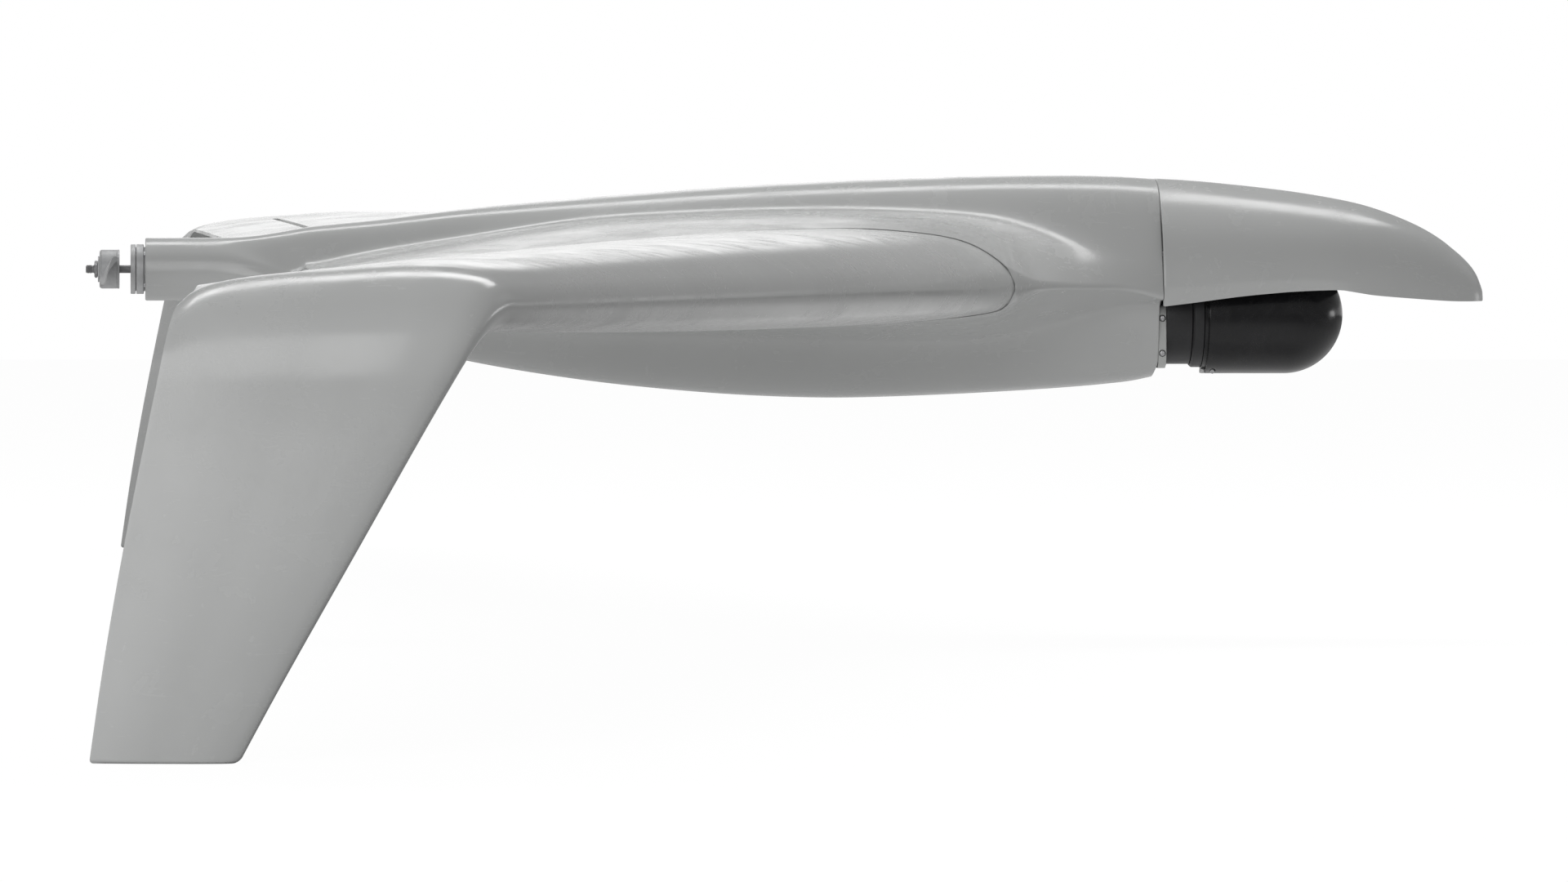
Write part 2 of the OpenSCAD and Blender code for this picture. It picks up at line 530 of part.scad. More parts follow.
module prop_nut() placed() color([0.70, 0.71, 0.72]) difference() {
  along_x(-29.2, -27.2, 5, 6);
  along_x(-40, -20, thread_r + snug);
}

// ---------- power and equipment ----------
deck_top = 4;
equipment_z = deck_top + 0.05;
battery_low = [405, -19, -55.9];
module motor_wires() placed() color([0.15, 0.15, 0.15]) for (s = [-1, 0, 1])
  wire([61, 4 * s, -6], [237.8, 6 * s, -33], 1.3);
module esc() placed() color([0.15, 0.20, 0.35]) {
  box([238, -13, -40], [284, 13, -29]);
  for (i = [0 : 6]) box([242 + 6 * i, -12, -29], [244.5 + 6 * i, 12, -26]);
}
module battery_lead() placed() color([0.70, 0.10, 0.08]) for (s = sides)
  wire([284.3, 4 * s, -34.5], [404.7, 5 * s, -30], 1.8);
module battery_tray() placed() color([0.75, 0.62, 0.42]) difference() {
  box([401, -18.5, -58], [551, 18.5, -56]);
  for (i = [0 : 4]) box([408 + 30 * i, -10, -59], [424 + 30 * i, 10, -55]);
}
module battery_pack() placed() color([0.10, 0.16, 0.34]) box(battery_low, [550, 19, -18]);
module battery_strap() placed() color([0.08, 0.08, 0.09]) for (x = [430, 505]) difference() {
  box([x, -20.3, battery_low[2]], [x + 18, 20.3, -16.9]);
  box([x - 1, -19.1, -57], [x + 19, 19.1, -17.9]);
}
module equipment_deck() placed() color([0.20, 0.22, 0.20]) difference() {
  box([345, -25, 2], [545, 25, deck_top]);
  for (x = [400, 482]) box([x, -18, 1], [x + 6, 18, deck_top + 1]);
}
module flight_controller() placed() color([0.12, 0.12, 0.13]) {
  box([350, -16, equipment_z], [394, 16, 17]);
  for (i = [0 : 3]) box([394, -14 + 7.5 * i, 6], [398, -9 + 7.5 * i, 12]);
}
module gps_module() placed() color([0.88, 0.88, 0.86]) {
  translate([440, 0, equipment_z]) cylinder(r = 21, h = 9);
  translate([440, 0, equipment_z + 9]) cylinder(r = 18, h = 3);
}
module telemetry_radio() placed() color([0.30, 0.31, 0.33]) {
  box([492, -17, equipment_z], [540, 17, 16]);
  wire([516, 0, 16], [516, 0, 34], 2.5);
}

// ---------- payload ----------
// Outline of the flange plate, [y, z]
flange_outline = [
  [-25, -20.5], [25, -20.5], [26.5, -24], [26.5, -50], [24.5, -54], [19, -56.2],
  [-19, -56.2], [-24.5, -54], [-26.5, -50], [-26.5, -24]];
flange_x = [577.8, 582.3];
flange_screw_x = 580;
flange_screw_z = [-27.5, -47.5];
module payload_flange() placed() color([0.70, 0.71, 0.70]) difference() {
  union() {
    translate([flange_x[0], 0, 0]) rotate([90, 0, 90])
      linear_extrude(flange_x[1] - flange_x[0]) polygon(flange_outline);
    box([560, -17, -50], [flange_x[0] + 0.1, 17, -24]);
  }
  translate([0, 0, turret_z - 12]) along_x(555, 590, 8, 48);
  for (s = sides) for (z = flange_screw_z) translate([flange_screw_x, 0, z])
    side_cyl(s, 19, 30, 1.05, 24);
}
module flange_screws() placed() color([0.55, 0.56, 0.58])
  for (s = sides) for (z = flange_screw_z) translate([flange_screw_x, 0, z])
    slotted_screw(s, shank = [19.5, 26.4], head = [26.55, 27.3], head_r = 1.5,
      slot = [26.9, 28], slot_half = 1.1);

// ---------- turret ----------
dome_x = 651.8;   // centre of the dome's sphere
dome_wall = 2;
dome_screw_at = [610.2, 0, -32.3];
tilt_x = 649;     // camera's tilt axis and sphere centre
tilt_pin_r = 2;
module turret_axis() translate([0, 0, turret_z]) children();
module payload_neck() placed() color([0.10, 0.10, 0.11]) turret_axis()
  lathe([[582.4, 8], [582.4, 27.9], [582.9, 28.4], [597.2, 28.4], [597.2, 22.1],
    [590, 22.1], [590, 8]]);
module roll_bearing() placed() color("silver") turret_axis() difference() {
  along_x(590.1, 597, 22, 72);
  along_x(589, 598, 18.05, 72);
}
module turret_collar() placed() color([0.12, 0.12, 0.13]) turret_axis()
  lathe([[590.6, 14], [590.6, 18], [597.2, 18], [597.2, 21.9], [597.4, 21.9], [597.4, 29],
    [598.6, 30.2], [603.9, 30.2], [603.9, 14]]);
function dome_arc(r, angles) = [for (a = angles) [dome_x + r * sin(a), r * cos(a)]];
module turret_dome() placed() color([0.08, 0.08, 0.09]) turret_axis() difference() {
  lathe(concat(
    [[604, 28.6], [604, 31], [606.2, 31], [606.2, dome_r - 0.4], [606.6, dome_r]],
    dome_arc(dome_r, [0 : 6 : 90]),
    dome_arc(dome_r - dome_wall, [90 : -6 : 0]),
    [[608.2, dome_r - dome_wall], [608.2, 28.6]]));
  for (s = sides) translate(dome_screw_at) {
    side_cyl(s, 8.3, 20, 1.62, 24);
    side_cyl(s, 4.9, 9, 1.05, 24);
  }
}
module dome_clip() placed() color([0.16, 0.16, 0.17]) turret_axis()
  for (k = [0, 180]) rotate([k, 0, 0])
    box([604.05, -4.5, -dome_r + 0.1], [606.1, 4.5, -31.05]);
module dome_screws() placed() color([0.75, 0.76, 0.77]) turret_axis()
  for (s = sides) translate(dome_screw_at)
    slotted_screw(s, shank = [5, 8.6], head = [8.4, 9.5], head_r = 1.45,
      slot = [9.1, 10], slot_half = 1);
module camera_yoke() placed() color([0.45, 0.46, 0.48]) turret_axis() difference() {
  union() {
    along_x(604, 606.8, 28);
    for (s = sides) side_box(s, [605, 21, -8], [653, 24, 8]);
  }
  translate([tilt_x, 0, 0]) along_y(-30, 30, tilt_pin_r + clearance, 32);
}
module tilt_pins() placed() color("silver") turret_axis() translate([tilt_x, 0, 0])
  for (s = sides) side_cyl(s, 16.2, 24.6, tilt_pin_r, 32);
// Ball with flat sides, bored for the tilt pins and the lens
module camera_body() placed() color([0.14, 0.14, 0.15]) turret_axis() difference() {
  translate([tilt_x, 0, 0]) sphere(r = 23, $fn = 64);
  for (s = sides) side_box(s, [tilt_x - 30, 20.6, -30], [tilt_x + 30, 30, 30]);
  translate([tilt_x, 0, 0]) along_y(-30, 30, tilt_pin_r + snug, 32);
  along_x(tilt_x + 8, tilt_x + 30, 11.1);
}
module camera_lens() placed() color([0.20, 0.24, 0.32]) turret_axis() difference() {
  along_x(tilt_x + 8.1, tilt_x + 22.5, 11);
  translate([tilt_x + 30, 0, 0]) sphere(r = 12.5, $fn = 64);
}

// ---------- wing sub-parts, drawn for the left side ----------
// Servo and linkage places are in the hinge frame at servo_y
servo_y = 700;
servo_at = [55, 0, -6];       // servo's output axis
servo_gap = 0.3;
case_low = [-6, -26, -6];     // servo case, from the output axis
case_high = [17, -2, 6];
servo_screw_x = [-8.5, 19.5]; // from the output axis
link_y = [1.6, 3.6];          // thickness of the servo arm and the horn
pushrod_r = 0.75;
link_hole_r = 0.82;
module on_servo() on_hinge(servo_y) translate(servo_at) children();
module at_link() translate([0, 0, -arm_len]) children();
module wing() difference() {
  skin([for (path = wing_stations) wing_ring(path)]);
  // elevon cut-out
  translate([0, 0, -60]) linear_extrude(120) polygon([
    [-60, elevon_in], [hinge_x(elevon_in) + 3.2, elevon_in],
    [hinge_x(elevon_out) + 3.2, elevon_out], [-60, elevon_out]]);
  // joiner tubes and plug
  translate(main_spar_at) along_y(root_y - 10, root_y + spar_reach + 4, spar_r + clearance);
  translate(rear_spar_at)
    along_y(root_y - 10, root_y + rear_spar_reach + 4, rear_spar_r + clearance);
  plug_block(1, root_y - 10, root_y + plug_depth + plug_gap, plug_gap);
  // ends of the hinge rod
  on_hinge(elevon_in) along_y(-14, 5, hinge_rod_r + clearance, 24);
  on_hinge(elevon_in) along_y(hinge_len - 5, hinge_len + 14, hinge_rod_r + clearance, 24);
  // servo pocket, open below, and its screw holes
  pocket_top = servo_at[2] + case_high[2] + servo_gap;
  on_hinge(servo_y) {
    box([servo_at[0] + case_low[0] - servo_gap, case_low[1] - servo_gap, -60],
      [servo_at[0] + case_high[0] + servo_gap, -8.1, pocket_top]);
    box([servo_at[0] - 16, -8.2, -60], [servo_at[0] + 26, 6.5, pocket_top]);
    for (x = servo_screw_x) translate([servo_at[0] + x, 0, servo_at[2]])
      along_y(-16, -8, 1 + clearance, 24);
  }
}
module elevon() difference() {
  skin([for (i = [0 : 6])
    elevon_ring(mix(elevon_in + elevon_gap, elevon_out - elevon_gap, i / 6))]);
  on_hinge(elevon_in) along_y(-5, hinge_len + 5, hinge_rod_r + clearance, 24);
  // slot for the control horn
  on_hinge(servo_y) box([-31, link_y[0] - 0.1, -40], [-12.9, link_y[1] + 0.1, -14.9]);
}
module hinge_rod() on_hinge(elevon_in) along_y(-13, hinge_len + 13, hinge_rod_r, 24);
module servo() on_servo() {
  difference() {
    union() {
      box(case_low, case_high);
      box([-11, -8, -6], [22, -5.5, 6]);
    }
    for (x = servo_screw_x) translate([x, 0, 0]) along_y(-10, 0, 1 + clearance, 24);
  }
  along_y(-2.1, -0.4, 5.5, 32);
  along_y(-0.5, 2.6, 2.4, 32);
}
module servo_screws() on_servo() for (x = servo_screw_x) translate([x, 0, 0]) {
  along_y(-15.5, -5.4, 1, 24);
  along_y(-5.45, -4.2, 2, 24);
}
module servo_arm() on_servo() difference() {
  union() {
    along_y(0.2, 4.4, 4, 32);
    box([-2.2, link_y[0], -arm_len], [2.2, link_y[1], 0]);
    at_link() along_y(link_y[0], link_y[1], 2.6, 32);
  }
  along_y(-1, 3, 2.45, 32);
  at_link() along_y(0, 5, link_hole_r, 24);
}
module pushrod() on_hinge(servo_y) at_link() {
  along_y(0.9, 5.8, pushrod_r, 24);
  translate(servo_at) along_y(0.9, 5.8, pushrod_r, 24);
  wire([0, 5.2, 0], servo_at + [0, 5.2, 0], pushrod_r);
}
// Outline of the control horn, [x, z] in the hinge frame
horn_outline = [
  [-29, -15], [-13, -15], [-13, -22.6], [-11.6, -24], [-3, -26], [2.4, -28.2],
  [2.8, -30], [2, -32], [-1, -32.8], [-12, -30], [-29, -25]];
module control_horn() on_hinge(servo_y) difference() {
  union() {
    translate([0, link_y[1], 0]) rotate([90, 0, 0])
      linear_extrude(link_y[1] - link_y[0]) polygon(horn_outline);
    at_link() along_y(link_y[0], link_y[1], 2.8, 32);
  }
  at_link() along_y(0, 5, link_hole_r, 24);
}
module wing_plug() difference() {
  plug_block(1, root_y + 0.25, root_y + plug_depth);
  translate([(plug_x[0] + plug_x[1]) / 2, 0, (plug_z[0] + plug_z[1]) / 2])
    along_y(root_y + 6, root_y + plug_depth + 1, 2, 24);
}

module left_wing() color(foam) on_side(1) wing();
module right_wing() color(foam) on_side(-1) wing();
module left_elevon() color(foam) on_side(1) elevon();
module right_elevon() color(foam) on_side(-1) elevon();
module left_hinge_rod() color("silver") on_side(1) hinge_rod();
module right_hinge_rod() color("silver") on_side(-1) hinge_rod();
module left_servo() color(servo_black) on_side(1) servo();
module right_servo() color(servo_black) on_side(-1) servo();
module left_servo_screws() color("silver") on_side(1) servo_screws();
module right_servo_screws() color("silver") on_side(-1) servo_screws();
module left_servo_arm() color(arm_white) on_side(1) servo_arm();
module right_servo_arm() color(arm_white) on_side(-1) servo_arm();
module left_pushrod() color("silver") on_side(1) pushrod();
module right_pushrod() color("silver") on_side(-1) pushrod();
module left_control_horn() color(horn_black) on_side(1) control_horn();
module right_control_horn() color(horn_black) on_side(-1) control_horn();
module left_wing_plug() color(brass) on_side(1) wing_plug();
module right_wing_plug() color(brass) on_side(-1) wing_plug();

centre_body();
nose_fairing();
nose_pins();
main_spar();
rear_spar();
rib_sockets();
motor_mount();
motor_end_bell();
motor_can();
motor_stator();
motor_rotor();
motor_shaft();
motor_bearings();
motor_mount_screws();
prop_backplate();
propeller();
prop_washer();
prop_nut();
motor_wires();
esc();
battery_lead();
battery_pack();
battery_tray();
battery_strap();
equipment_deck();
flight_controller();
gps_module();
telemetry_radio();
payload_flange();
flange_screws();
payload_neck();
roll_bearing();
turret_collar();
turret_dome();
dome_clip();
dome_screws();
camera_yoke();
camera_body();
camera_lens();
tilt_pins();
left_wing();
left_elevon();
left_hinge_rod();
left_servo();
left_servo_screws();
left_servo_arm();
left_pushrod();
left_control_horn();
left_wing_plug();
right_wing();
right_elevon();
right_hinge_rod();
right_servo();
right_servo_screws();
right_servo_arm();
right_pushrod();
right_control_horn();
right_wing_plug();
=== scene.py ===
"""Small flying-wing aircraft: blended centre body, wings whose tips turn down into fins,
elevons, a pusher propeller at the tail and a domed turret below the nose.

Shapes are in millimetres in the aircraft's own frame: +X nose, +Y left, +Z up, with the
propeller shaft on the X axis. to_scene() gives scene metres, with the fin tips on z = 0.
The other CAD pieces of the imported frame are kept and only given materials.
"""
import json
import math
import random

import bmesh
import bpy
import numpy as np
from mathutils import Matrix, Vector


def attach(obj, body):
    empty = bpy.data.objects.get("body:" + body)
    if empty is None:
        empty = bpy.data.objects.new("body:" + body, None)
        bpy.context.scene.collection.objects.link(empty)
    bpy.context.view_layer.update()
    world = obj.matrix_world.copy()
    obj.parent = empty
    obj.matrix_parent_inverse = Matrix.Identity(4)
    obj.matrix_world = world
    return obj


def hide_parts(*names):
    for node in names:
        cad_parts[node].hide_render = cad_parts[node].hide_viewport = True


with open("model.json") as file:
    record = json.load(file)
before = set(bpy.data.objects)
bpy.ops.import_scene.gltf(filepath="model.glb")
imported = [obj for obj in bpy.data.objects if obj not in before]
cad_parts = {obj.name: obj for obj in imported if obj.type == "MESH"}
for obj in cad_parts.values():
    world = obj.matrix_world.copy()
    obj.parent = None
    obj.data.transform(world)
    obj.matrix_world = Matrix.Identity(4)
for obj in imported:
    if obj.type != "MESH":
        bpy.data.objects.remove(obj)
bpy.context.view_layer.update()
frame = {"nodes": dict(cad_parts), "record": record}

random.seed(7)
SLOT = {s["node"]: s["material_slot"] for s in frame["record"]["subparts"]}

MM = 0.001
ORIGIN_X = 365.85  # station that lies over the scene origin
FOOT_Z = -209.4    # lower end of the fins
SIDES = (1, -1)    # left, right


# ---------------------------------------------------------------- curves
def mix(a, b, t):
    return a + (b - a) * t


def mix_points(a, b, t):
    return (mix(a[0], b[0], t), mix(a[1], b[1], t))


def clamp(t):
    return min(1.0, max(0.0, t))


def ease(t):
    c = clamp(t)
    return c * c * (3 - 2 * c)


def spread(start, stop, count):
    """Evenly spaced values from start up to, but not including, stop."""
    return [start + (stop - start) * i / count for i in range(count)]


def secant(table, i):
    return (table[i + 1][1] - table[i][1]) / (table[i + 1][0] - table[i][0])


def slope(table, i):
    if i == 0:
        return secant(table, 0)
    if i == len(table) - 1:
        return secant(table, len(table) - 2)
    before, after = secant(table, i - 1), secant(table, i)
    return 0.0 if before * after <= 0 else 2 * before * after / (before + after)


def curve_at(table, x):
    """Value at x of the cubic without overshoot through a table of (x, value)."""
    i = 0
    while i < len(table) - 2 and x >= table[i + 1][0]:
        i += 1
    (x0, v0), (x1, v1) = table[i:i + 2]
    step = x1 - x0
    u = clamp((x - x0) / step)
    a, b = slope(table, i), slope(table, i + 1)
    return (v0 * (1 + 2 * u) * (1 - u) ** 2 + v1 * u * u * (3 - 2 * u)
            + step * (a * u * (1 - u) ** 2 - b * u * u * (1 - u)))


faired_values = {}


def faired(table, x, reach):
    """curve_at() averaged over a bell of width reach, which narrows near the table's ends."""
    key = (id(table), round(x, 4), reach)
    if key not in faired_values:
        first, last = table[0][0], table[-1][0]
        if first < x < last:
            reach = min(reach, max(1e-6, (x - first) / 2.0), max(1e-6, (last - x) / 2.0))
        else:
            reach = 1e-6
        total = weights = 0.0
        for k in range(-8, 9):
            weight = math.exp(-0.5 * (k / 4.0) ** 2)
            total += weight * curve_at(table, x + reach * k / 4.0)
            weights += weight
        faired_values[key] = total / weights
    return faired_values[key]


def spline_point(knots, k, u):
    weights = ((1 - u) ** 3, 3 * u ** 3 - 6 * u * u + 4, -3 * u ** 3 + 3 * u * u + 3 * u + 1, u ** 3)
    return tuple(sum(knots[k + j][i] * weights[j] for j in range(4)) / 6 for i in (0, 1))


SPLINE_STEPS = 7


def spline(knots):
    """Uniform B-spline through a list of (y, z) control knots."""
    points = [spline_point(knots, k, j / SPLINE_STEPS)
              for k in range(len(knots) - 3) for j in range(SPLINE_STEPS)]
    return points + [spline_point(knots, len(knots) - 4, 1.0)]


# ---------------------------------------------------------------- wing shape
HALF_SPAN = 1100.0
ROOT_Y = 150.0
ROOT_Z = -7.2
BEND_RADIUS = 34.0   # wing turning down into the fin
DIHEDRAL = 0.0095    # rise per unit of span
TIP_THICKNESS = 1.44 # thickness factor where the bend starts
FIN_THICKNESS = 0.95
WASHOUT = 0.03

# distances out along the wing, measured from the root round the bend and down the fin
FLAT_LENGTH = HALF_SPAN - BEND_RADIUS - ROOT_Y
BEND_LENGTH = BEND_RADIUS * math.pi / 2
BEND_TOP_Z = ROOT_Z + DIHEDRAL * FLAT_LENGTH
BEND_END = FLAT_LENGTH + BEND_LENGTH
WING_END = BEND_END + BEND_TOP_Z - BEND_RADIUS - FOOT_Z

# (square root of the chord fraction aft of the leading edge, height / chord)
AIRFOIL_UPPER = [
    [0, 0], [0.112, 0.0280], [0.158, 0.0393], [0.288, 0.0683], [0.387, 0.0787],
    [0.480, 0.0832], [0.583, 0.0812], [0.648, 0.0762], [0.721, 0.0668], [0.794, 0.0578],
    [0.843, 0.0515], [0.922, 0.0390], [1, 0.0246]]
AIRFOIL_LOWER = [
    [0, 0], [0.100, -0.0250], [0.141, -0.0335], [0.237, -0.0415], [0.355, -0.0485],
    [0.447, -0.0530], [0.583, -0.0552], [0.762, -0.0560], [0.812, -0.0530], [0.866, -0.0440],
    [0.922, -0.0255], [0.975, 0.0030], [1, 0.0170]]
# (distance along the wing, x)
LEADING_X = [
    [0, 485.7], [425, 344.9], [850, 204.1], [890, 190], [916, 178.6], [943, 163.3],
    [969.4, 147.2], [1050, 101.4], [1120, 61.9], [1160, 40.6]]
TRAILING_X = [
    [0, 92], [425, 60.7], [850, 29.4], [880, 26.2], [905, 22.2], [920, 19.6],
    [930, 18], [940, 15.9], [960, 12], [980, 7.8], [1000, 3.7], [1048, -5.8],
    [1100, -14.8], [1160, -23.4]]


def airfoil(t, side, thickness, symmetry, twist):
    """Height / chord at chord fraction t; symmetry 1 takes all the camber out."""
    root = math.sqrt(max(0.0, t))
    upper, lower = curve_at(AIRFOIL_UPPER, root), curve_at(AIRFOIL_LOWER, root)
    return (upper + lower) / 2 * (1 - symmetry) + side * thickness * (upper - lower) / 2 + twist * t


def bend_angle(u):
    return math.radians(90 * clamp((u - FLAT_LENGTH) / BEND_LENGTH))


def wing_path(u):
    """(y, z) of the chord line at distance u along the wing."""
    if u <= FLAT_LENGTH:
        return (ROOT_Y + u, ROOT_Z + DIHEDRAL * u)
    angle = bend_angle(u)
    down = max(0.0, u - BEND_END)
    return (HALF_SPAN - BEND_RADIUS + BEND_RADIUS * math.sin(angle),
            BEND_TOP_Z - BEND_RADIUS + BEND_RADIUS * math.cos(angle) - down)


def thickness_at(u):
    if u < FLAT_LENGTH:
        return mix(1, TIP_THICKNESS, u / FLAT_LENGTH)
    return mix(TIP_THICKNESS, FIN_THICKNESS, ease((u - FLAT_LENGTH) / (BEND_LENGTH * 1.6)))


def symmetry_at(u):
    return ease((u - FLAT_LENGTH + 20) / (BEND_LENGTH + 20))


def twist_at(u):
    if u < FLAT_LENGTH:
        return WASHOUT * (u / FLAT_LENGTH) ** 2.6
    return WASHOUT * (1 - ease((u - FLAT_LENGTH) / BEND_LENGTH))


def wing_height(u, t, side, chord):
    """Height / chord of the skin, with the trailing edge drawn down close to the bend."""
    droop = (ease((u - 852) / 53) * (twist_at(u) + 0.0208 * (1 - symmetry_at(u)))
             * math.exp(-(1 - t) * chord / 6.5))
    return airfoil(t, side, thickness_at(u), symmetry_at(u), twist_at(u)) - droop


def off_path(u, x, height):
    angle, (y, z) = bend_angle(u), wing_path(u)
    return (x, y + height * math.sin(angle), z + height * math.cos(angle))


def wing_point(u, t, side):
    lead = curve_at(LEADING_X, u)
    chord = lead - curve_at(TRAILING_X, u)
    return off_path(u, lead - t * chord, chord * wing_height(u, t, side, chord))


def chord_fraction(u, x):
    lead = curve_at(LEADING_X, u)
    return (lead - x) / (lead - curve_at(TRAILING_X, u))


def skin_z(y, x, side):
    u = y - ROOT_Y
    return wing_point(u, chord_fraction(u, x), side)[2]


# ---------------------------------------------------------------- elevon hinge
ELEVON_CHORD = 52.0
ELEVON_IN, ELEVON_OUT = 500.0, 1000.0  # y of the wing cut-out's ends
ELEVON_GAP = 1.0
HINGE_DROP = 2.4   # hinge line below the upper skin
SERVO_Y = 700.0
SERVO_FORWARD = 55.0
SERVO_Z = -6.0     # relative to the hinge


def trailing_at(y):
    return curve_at(TRAILING_X, y - ROOT_Y)


def hinge_x(y):
    return trailing_at(y) + ELEVON_CHORD


def hinge_end(y):
    x = hinge_x(y)
    return (x, y, skin_z(y, x, 1) - HINGE_DROP)


HINGE_IN, HINGE_OUT = hinge_end(ELEVON_IN), hinge_end(ELEVON_OUT)
HINGE_RUN = [outer - inner for inner, outer in zip(HINGE_IN, HINGE_OUT)]
HINGE_YAW = math.atan(-HINGE_RUN[0] / HINGE_RUN[1])
HINGE_TILT = math.atan(HINGE_RUN[2] / math.hypot(HINGE_RUN[0], HINGE_RUN[1]))


def hinge_point(y):
    t = (y - ELEVON_IN) / (ELEVON_OUT - ELEVON_IN)
    return tuple(mix(inner, outer, t) for inner, outer in zip(HINGE_IN, HINGE_OUT))


def from_servo(point):
    """Hinge-aligned coordinates at the servo station, taken into the aircraft's frame."""
    x, y, z = point
    tilt, yaw = HINGE_TILT, HINGE_YAW
    y, z = y * math.cos(tilt) - z * math.sin(tilt), y * math.sin(tilt) + z * math.cos(tilt)
    x, y = x * math.cos(yaw) - y * math.sin(yaw), x * math.sin(yaw) + y * math.cos(yaw)
    start = hinge_point(SERVO_Y)
    return (start[0] + x, start[1] + y, start[2] + z)


# ---------------------------------------------------------------- centre body sections
TUBE_RADIUS = 18.0  # round tail end
BORE_RADIUS = 16    # round tail end of the cavity
WALL = 3.0
ROOT_SEAM = 0.3     # gap between body and both wings together
RIB_BACK, RIB_FRONT = 92, 480    # x range of the flat wing-root rib
RIB_BLEND = 5.7                  # run from the rib to the root's leading edge
RIM_RADIUS = 0.7
CAP_POINTS = 14                  # points down the outer edge of a section

# tables of (x, value)
TOP_LINE = [
    [0, 18], [35.6, 18.2], [70, 22], [104.8, 25.5], [139.4, 29], [170.7, 33.3], [216, 37.7],
    [281.6, 43.3], [356.5, 48.5], [431, 51.7], [506, 53.6], [543.6, 53.6], [577.7, 51.7]]
KEEL_LINE = [
    [0, -18], [30, -18], [50, -20], [100, -33], [150, -45], [206.8, -56.8], [281.6, -67.1],
    [356.5, -72.7], [393.9, -73.6], [431, -72.7], [506, -69], [560, -64.6], [577.7, -61.5]]
HUMP_WIDTH = [
    [0, 16], [35, 16], [100, 18], [178, 24], [290, 32], [404, 38], [525, 43], [577.7, 45]]
FILLET_Z = [
    [0, 0], [35, 0], [80, -4], [92, -3.5], [108, 2], [178, 14], [270, 27.5], [389, 31],
    [440, 29.5], [497, 24.5], [536, 13.5], [577.7, 3]]
KEEL_WIDTH = [
    [0, 14], [35, 14], [100, 17], [178, 20], [300, 26], [400, 29], [500, 29.5], [577.7, 28.5]]
KEEL_TOP = [
    [0, -6], [35, -6], [100, -14], [150, -22], [227, -31], [319, -33], [392, -35],
    [466, -36], [510, -30], [541, -22], [577.7, -17.5]]
EDGE_Y = [
    [0, 18], [35, 18], [60, 19.5], [80, 21], [86, 27], [89, 42], [91, 90], [92, 150],
    [480, 150], [485.7, 141.5], [492, 132], [500, 119], [515, 97.5], [530, 79], [545, 65.2],
    [556, 59], [566, 56], [577.7, 53]]
EDGE_UPPER_Z = [
    [0, -2], [60, -3], [80, -5.4], [86, -3], [92, 2.5], [480, 2.5], [485.7, 2.5],
    [492, -0.8], [500, -3.6], [515, -5.1], [530, -5.8], [545, -6], [556, -5.8], [577.7, -3.5]]
EDGE_LOWER_Z = [
    [0, -10], [60, -11], [80, -11], [86, -7], [92, -0.5], [480, -16.5], [485.7, -16.5],
    [492, -13.2], [500, -10.8], [515, -10], [530, -10.4], [545, -10.8], [556, -11.6],
    [577.7, -17]]
CAVITY_WIDTH = [[0, 14], [100, 15], [178, 19], [290, 26], [404, 31], [525, 34], [577.7, 35]]


def rib_z(x, side):
    lead = LEADING_X[0][1]
    chord = lead - TRAILING_X[0][1]
    return ROOT_Z + chord * airfoil(clamp((lead - x) / chord), side, 1, 0, 0)


def edge_z(x, side):
    """Height of the section's outer edge: the airfoil along the rib, tables beyond it."""
    table = EDGE_UPPER_Z if side > 0 else EDGE_LOWER_Z
    lead = LEADING_X[0][1]
    if x < RIB_BACK or x > lead:
        return curve_at(table, x)
    if x > RIB_FRONT:
        return mix(rib_z(RIB_FRONT, side), curve_at(table, lead), (x - RIB_FRONT) / RIB_BLEND)
    return rib_z(x, side)


def centre_knots(point, z):
    """Knots that carry a half section level across the centre line at height z."""
    return [(0, 1.5 * z - 0.5 * point[1]), (-point[0], point[1])]


def beyond(end, previous):
    return (2 * end[0] - previous[0], 2 * end[1] - previous[1])


def towards_round(points, radius, share):
    """Mix a half section (share) with a half circle (1 - share)."""
    mixed = []
    for i, (y, z) in enumerate(points):
        angle = math.radians(90 - 180 * i / (len(points) - 1))
        mixed.append((y * share + radius * math.cos(angle) * (1 - share),
                      z * share + radius * math.sin(angle) * (1 - share)))
    return mixed


def smooth_cap(start, start_run, end, end_run, length):
    """Edge points that leave the upper skin smoothly and arrive smoothly at the lower."""
    start_gain, end_gain = length / math.hypot(*start_run), length / math.hypot(*end_run)
    points = []
    for i in range(1, CAP_POINTS + 1):
        f = i / (CAP_POINTS + 1)
        c0, c1 = 2 * f ** 3 - 3 * f * f + 1, f ** 3 - 2 * f * f + f
        c2, c3 = 3 * f * f - 2 * f ** 3, f ** 3 - f * f
        points.append(tuple(start[q] * c0 + start_run[q] * start_gain * c1
                            + end[q] * c2 + end_run[q] * end_gain * c3 for q in (0, 1)))
    return points


def rib_cap(y, upper, lower, radius):
    """Flat rib with a small rounded rim above and below."""
    half, points = CAP_POINTS // 2, []
    for i in range(1, half + 1):
        angle = math.radians(90 * i / half)
        points.append((y - radius + radius * math.sin(angle),
                       upper - radius + radius * math.cos(angle)))
    for i in range(half + 1, CAP_POINTS + 1):
        angle = math.radians(90 * (i - half - 1) / (CAP_POINTS - half))
        points.append((y - radius + radius * math.cos(angle),
                       lower + radius - radius * math.sin(angle)))
    return points


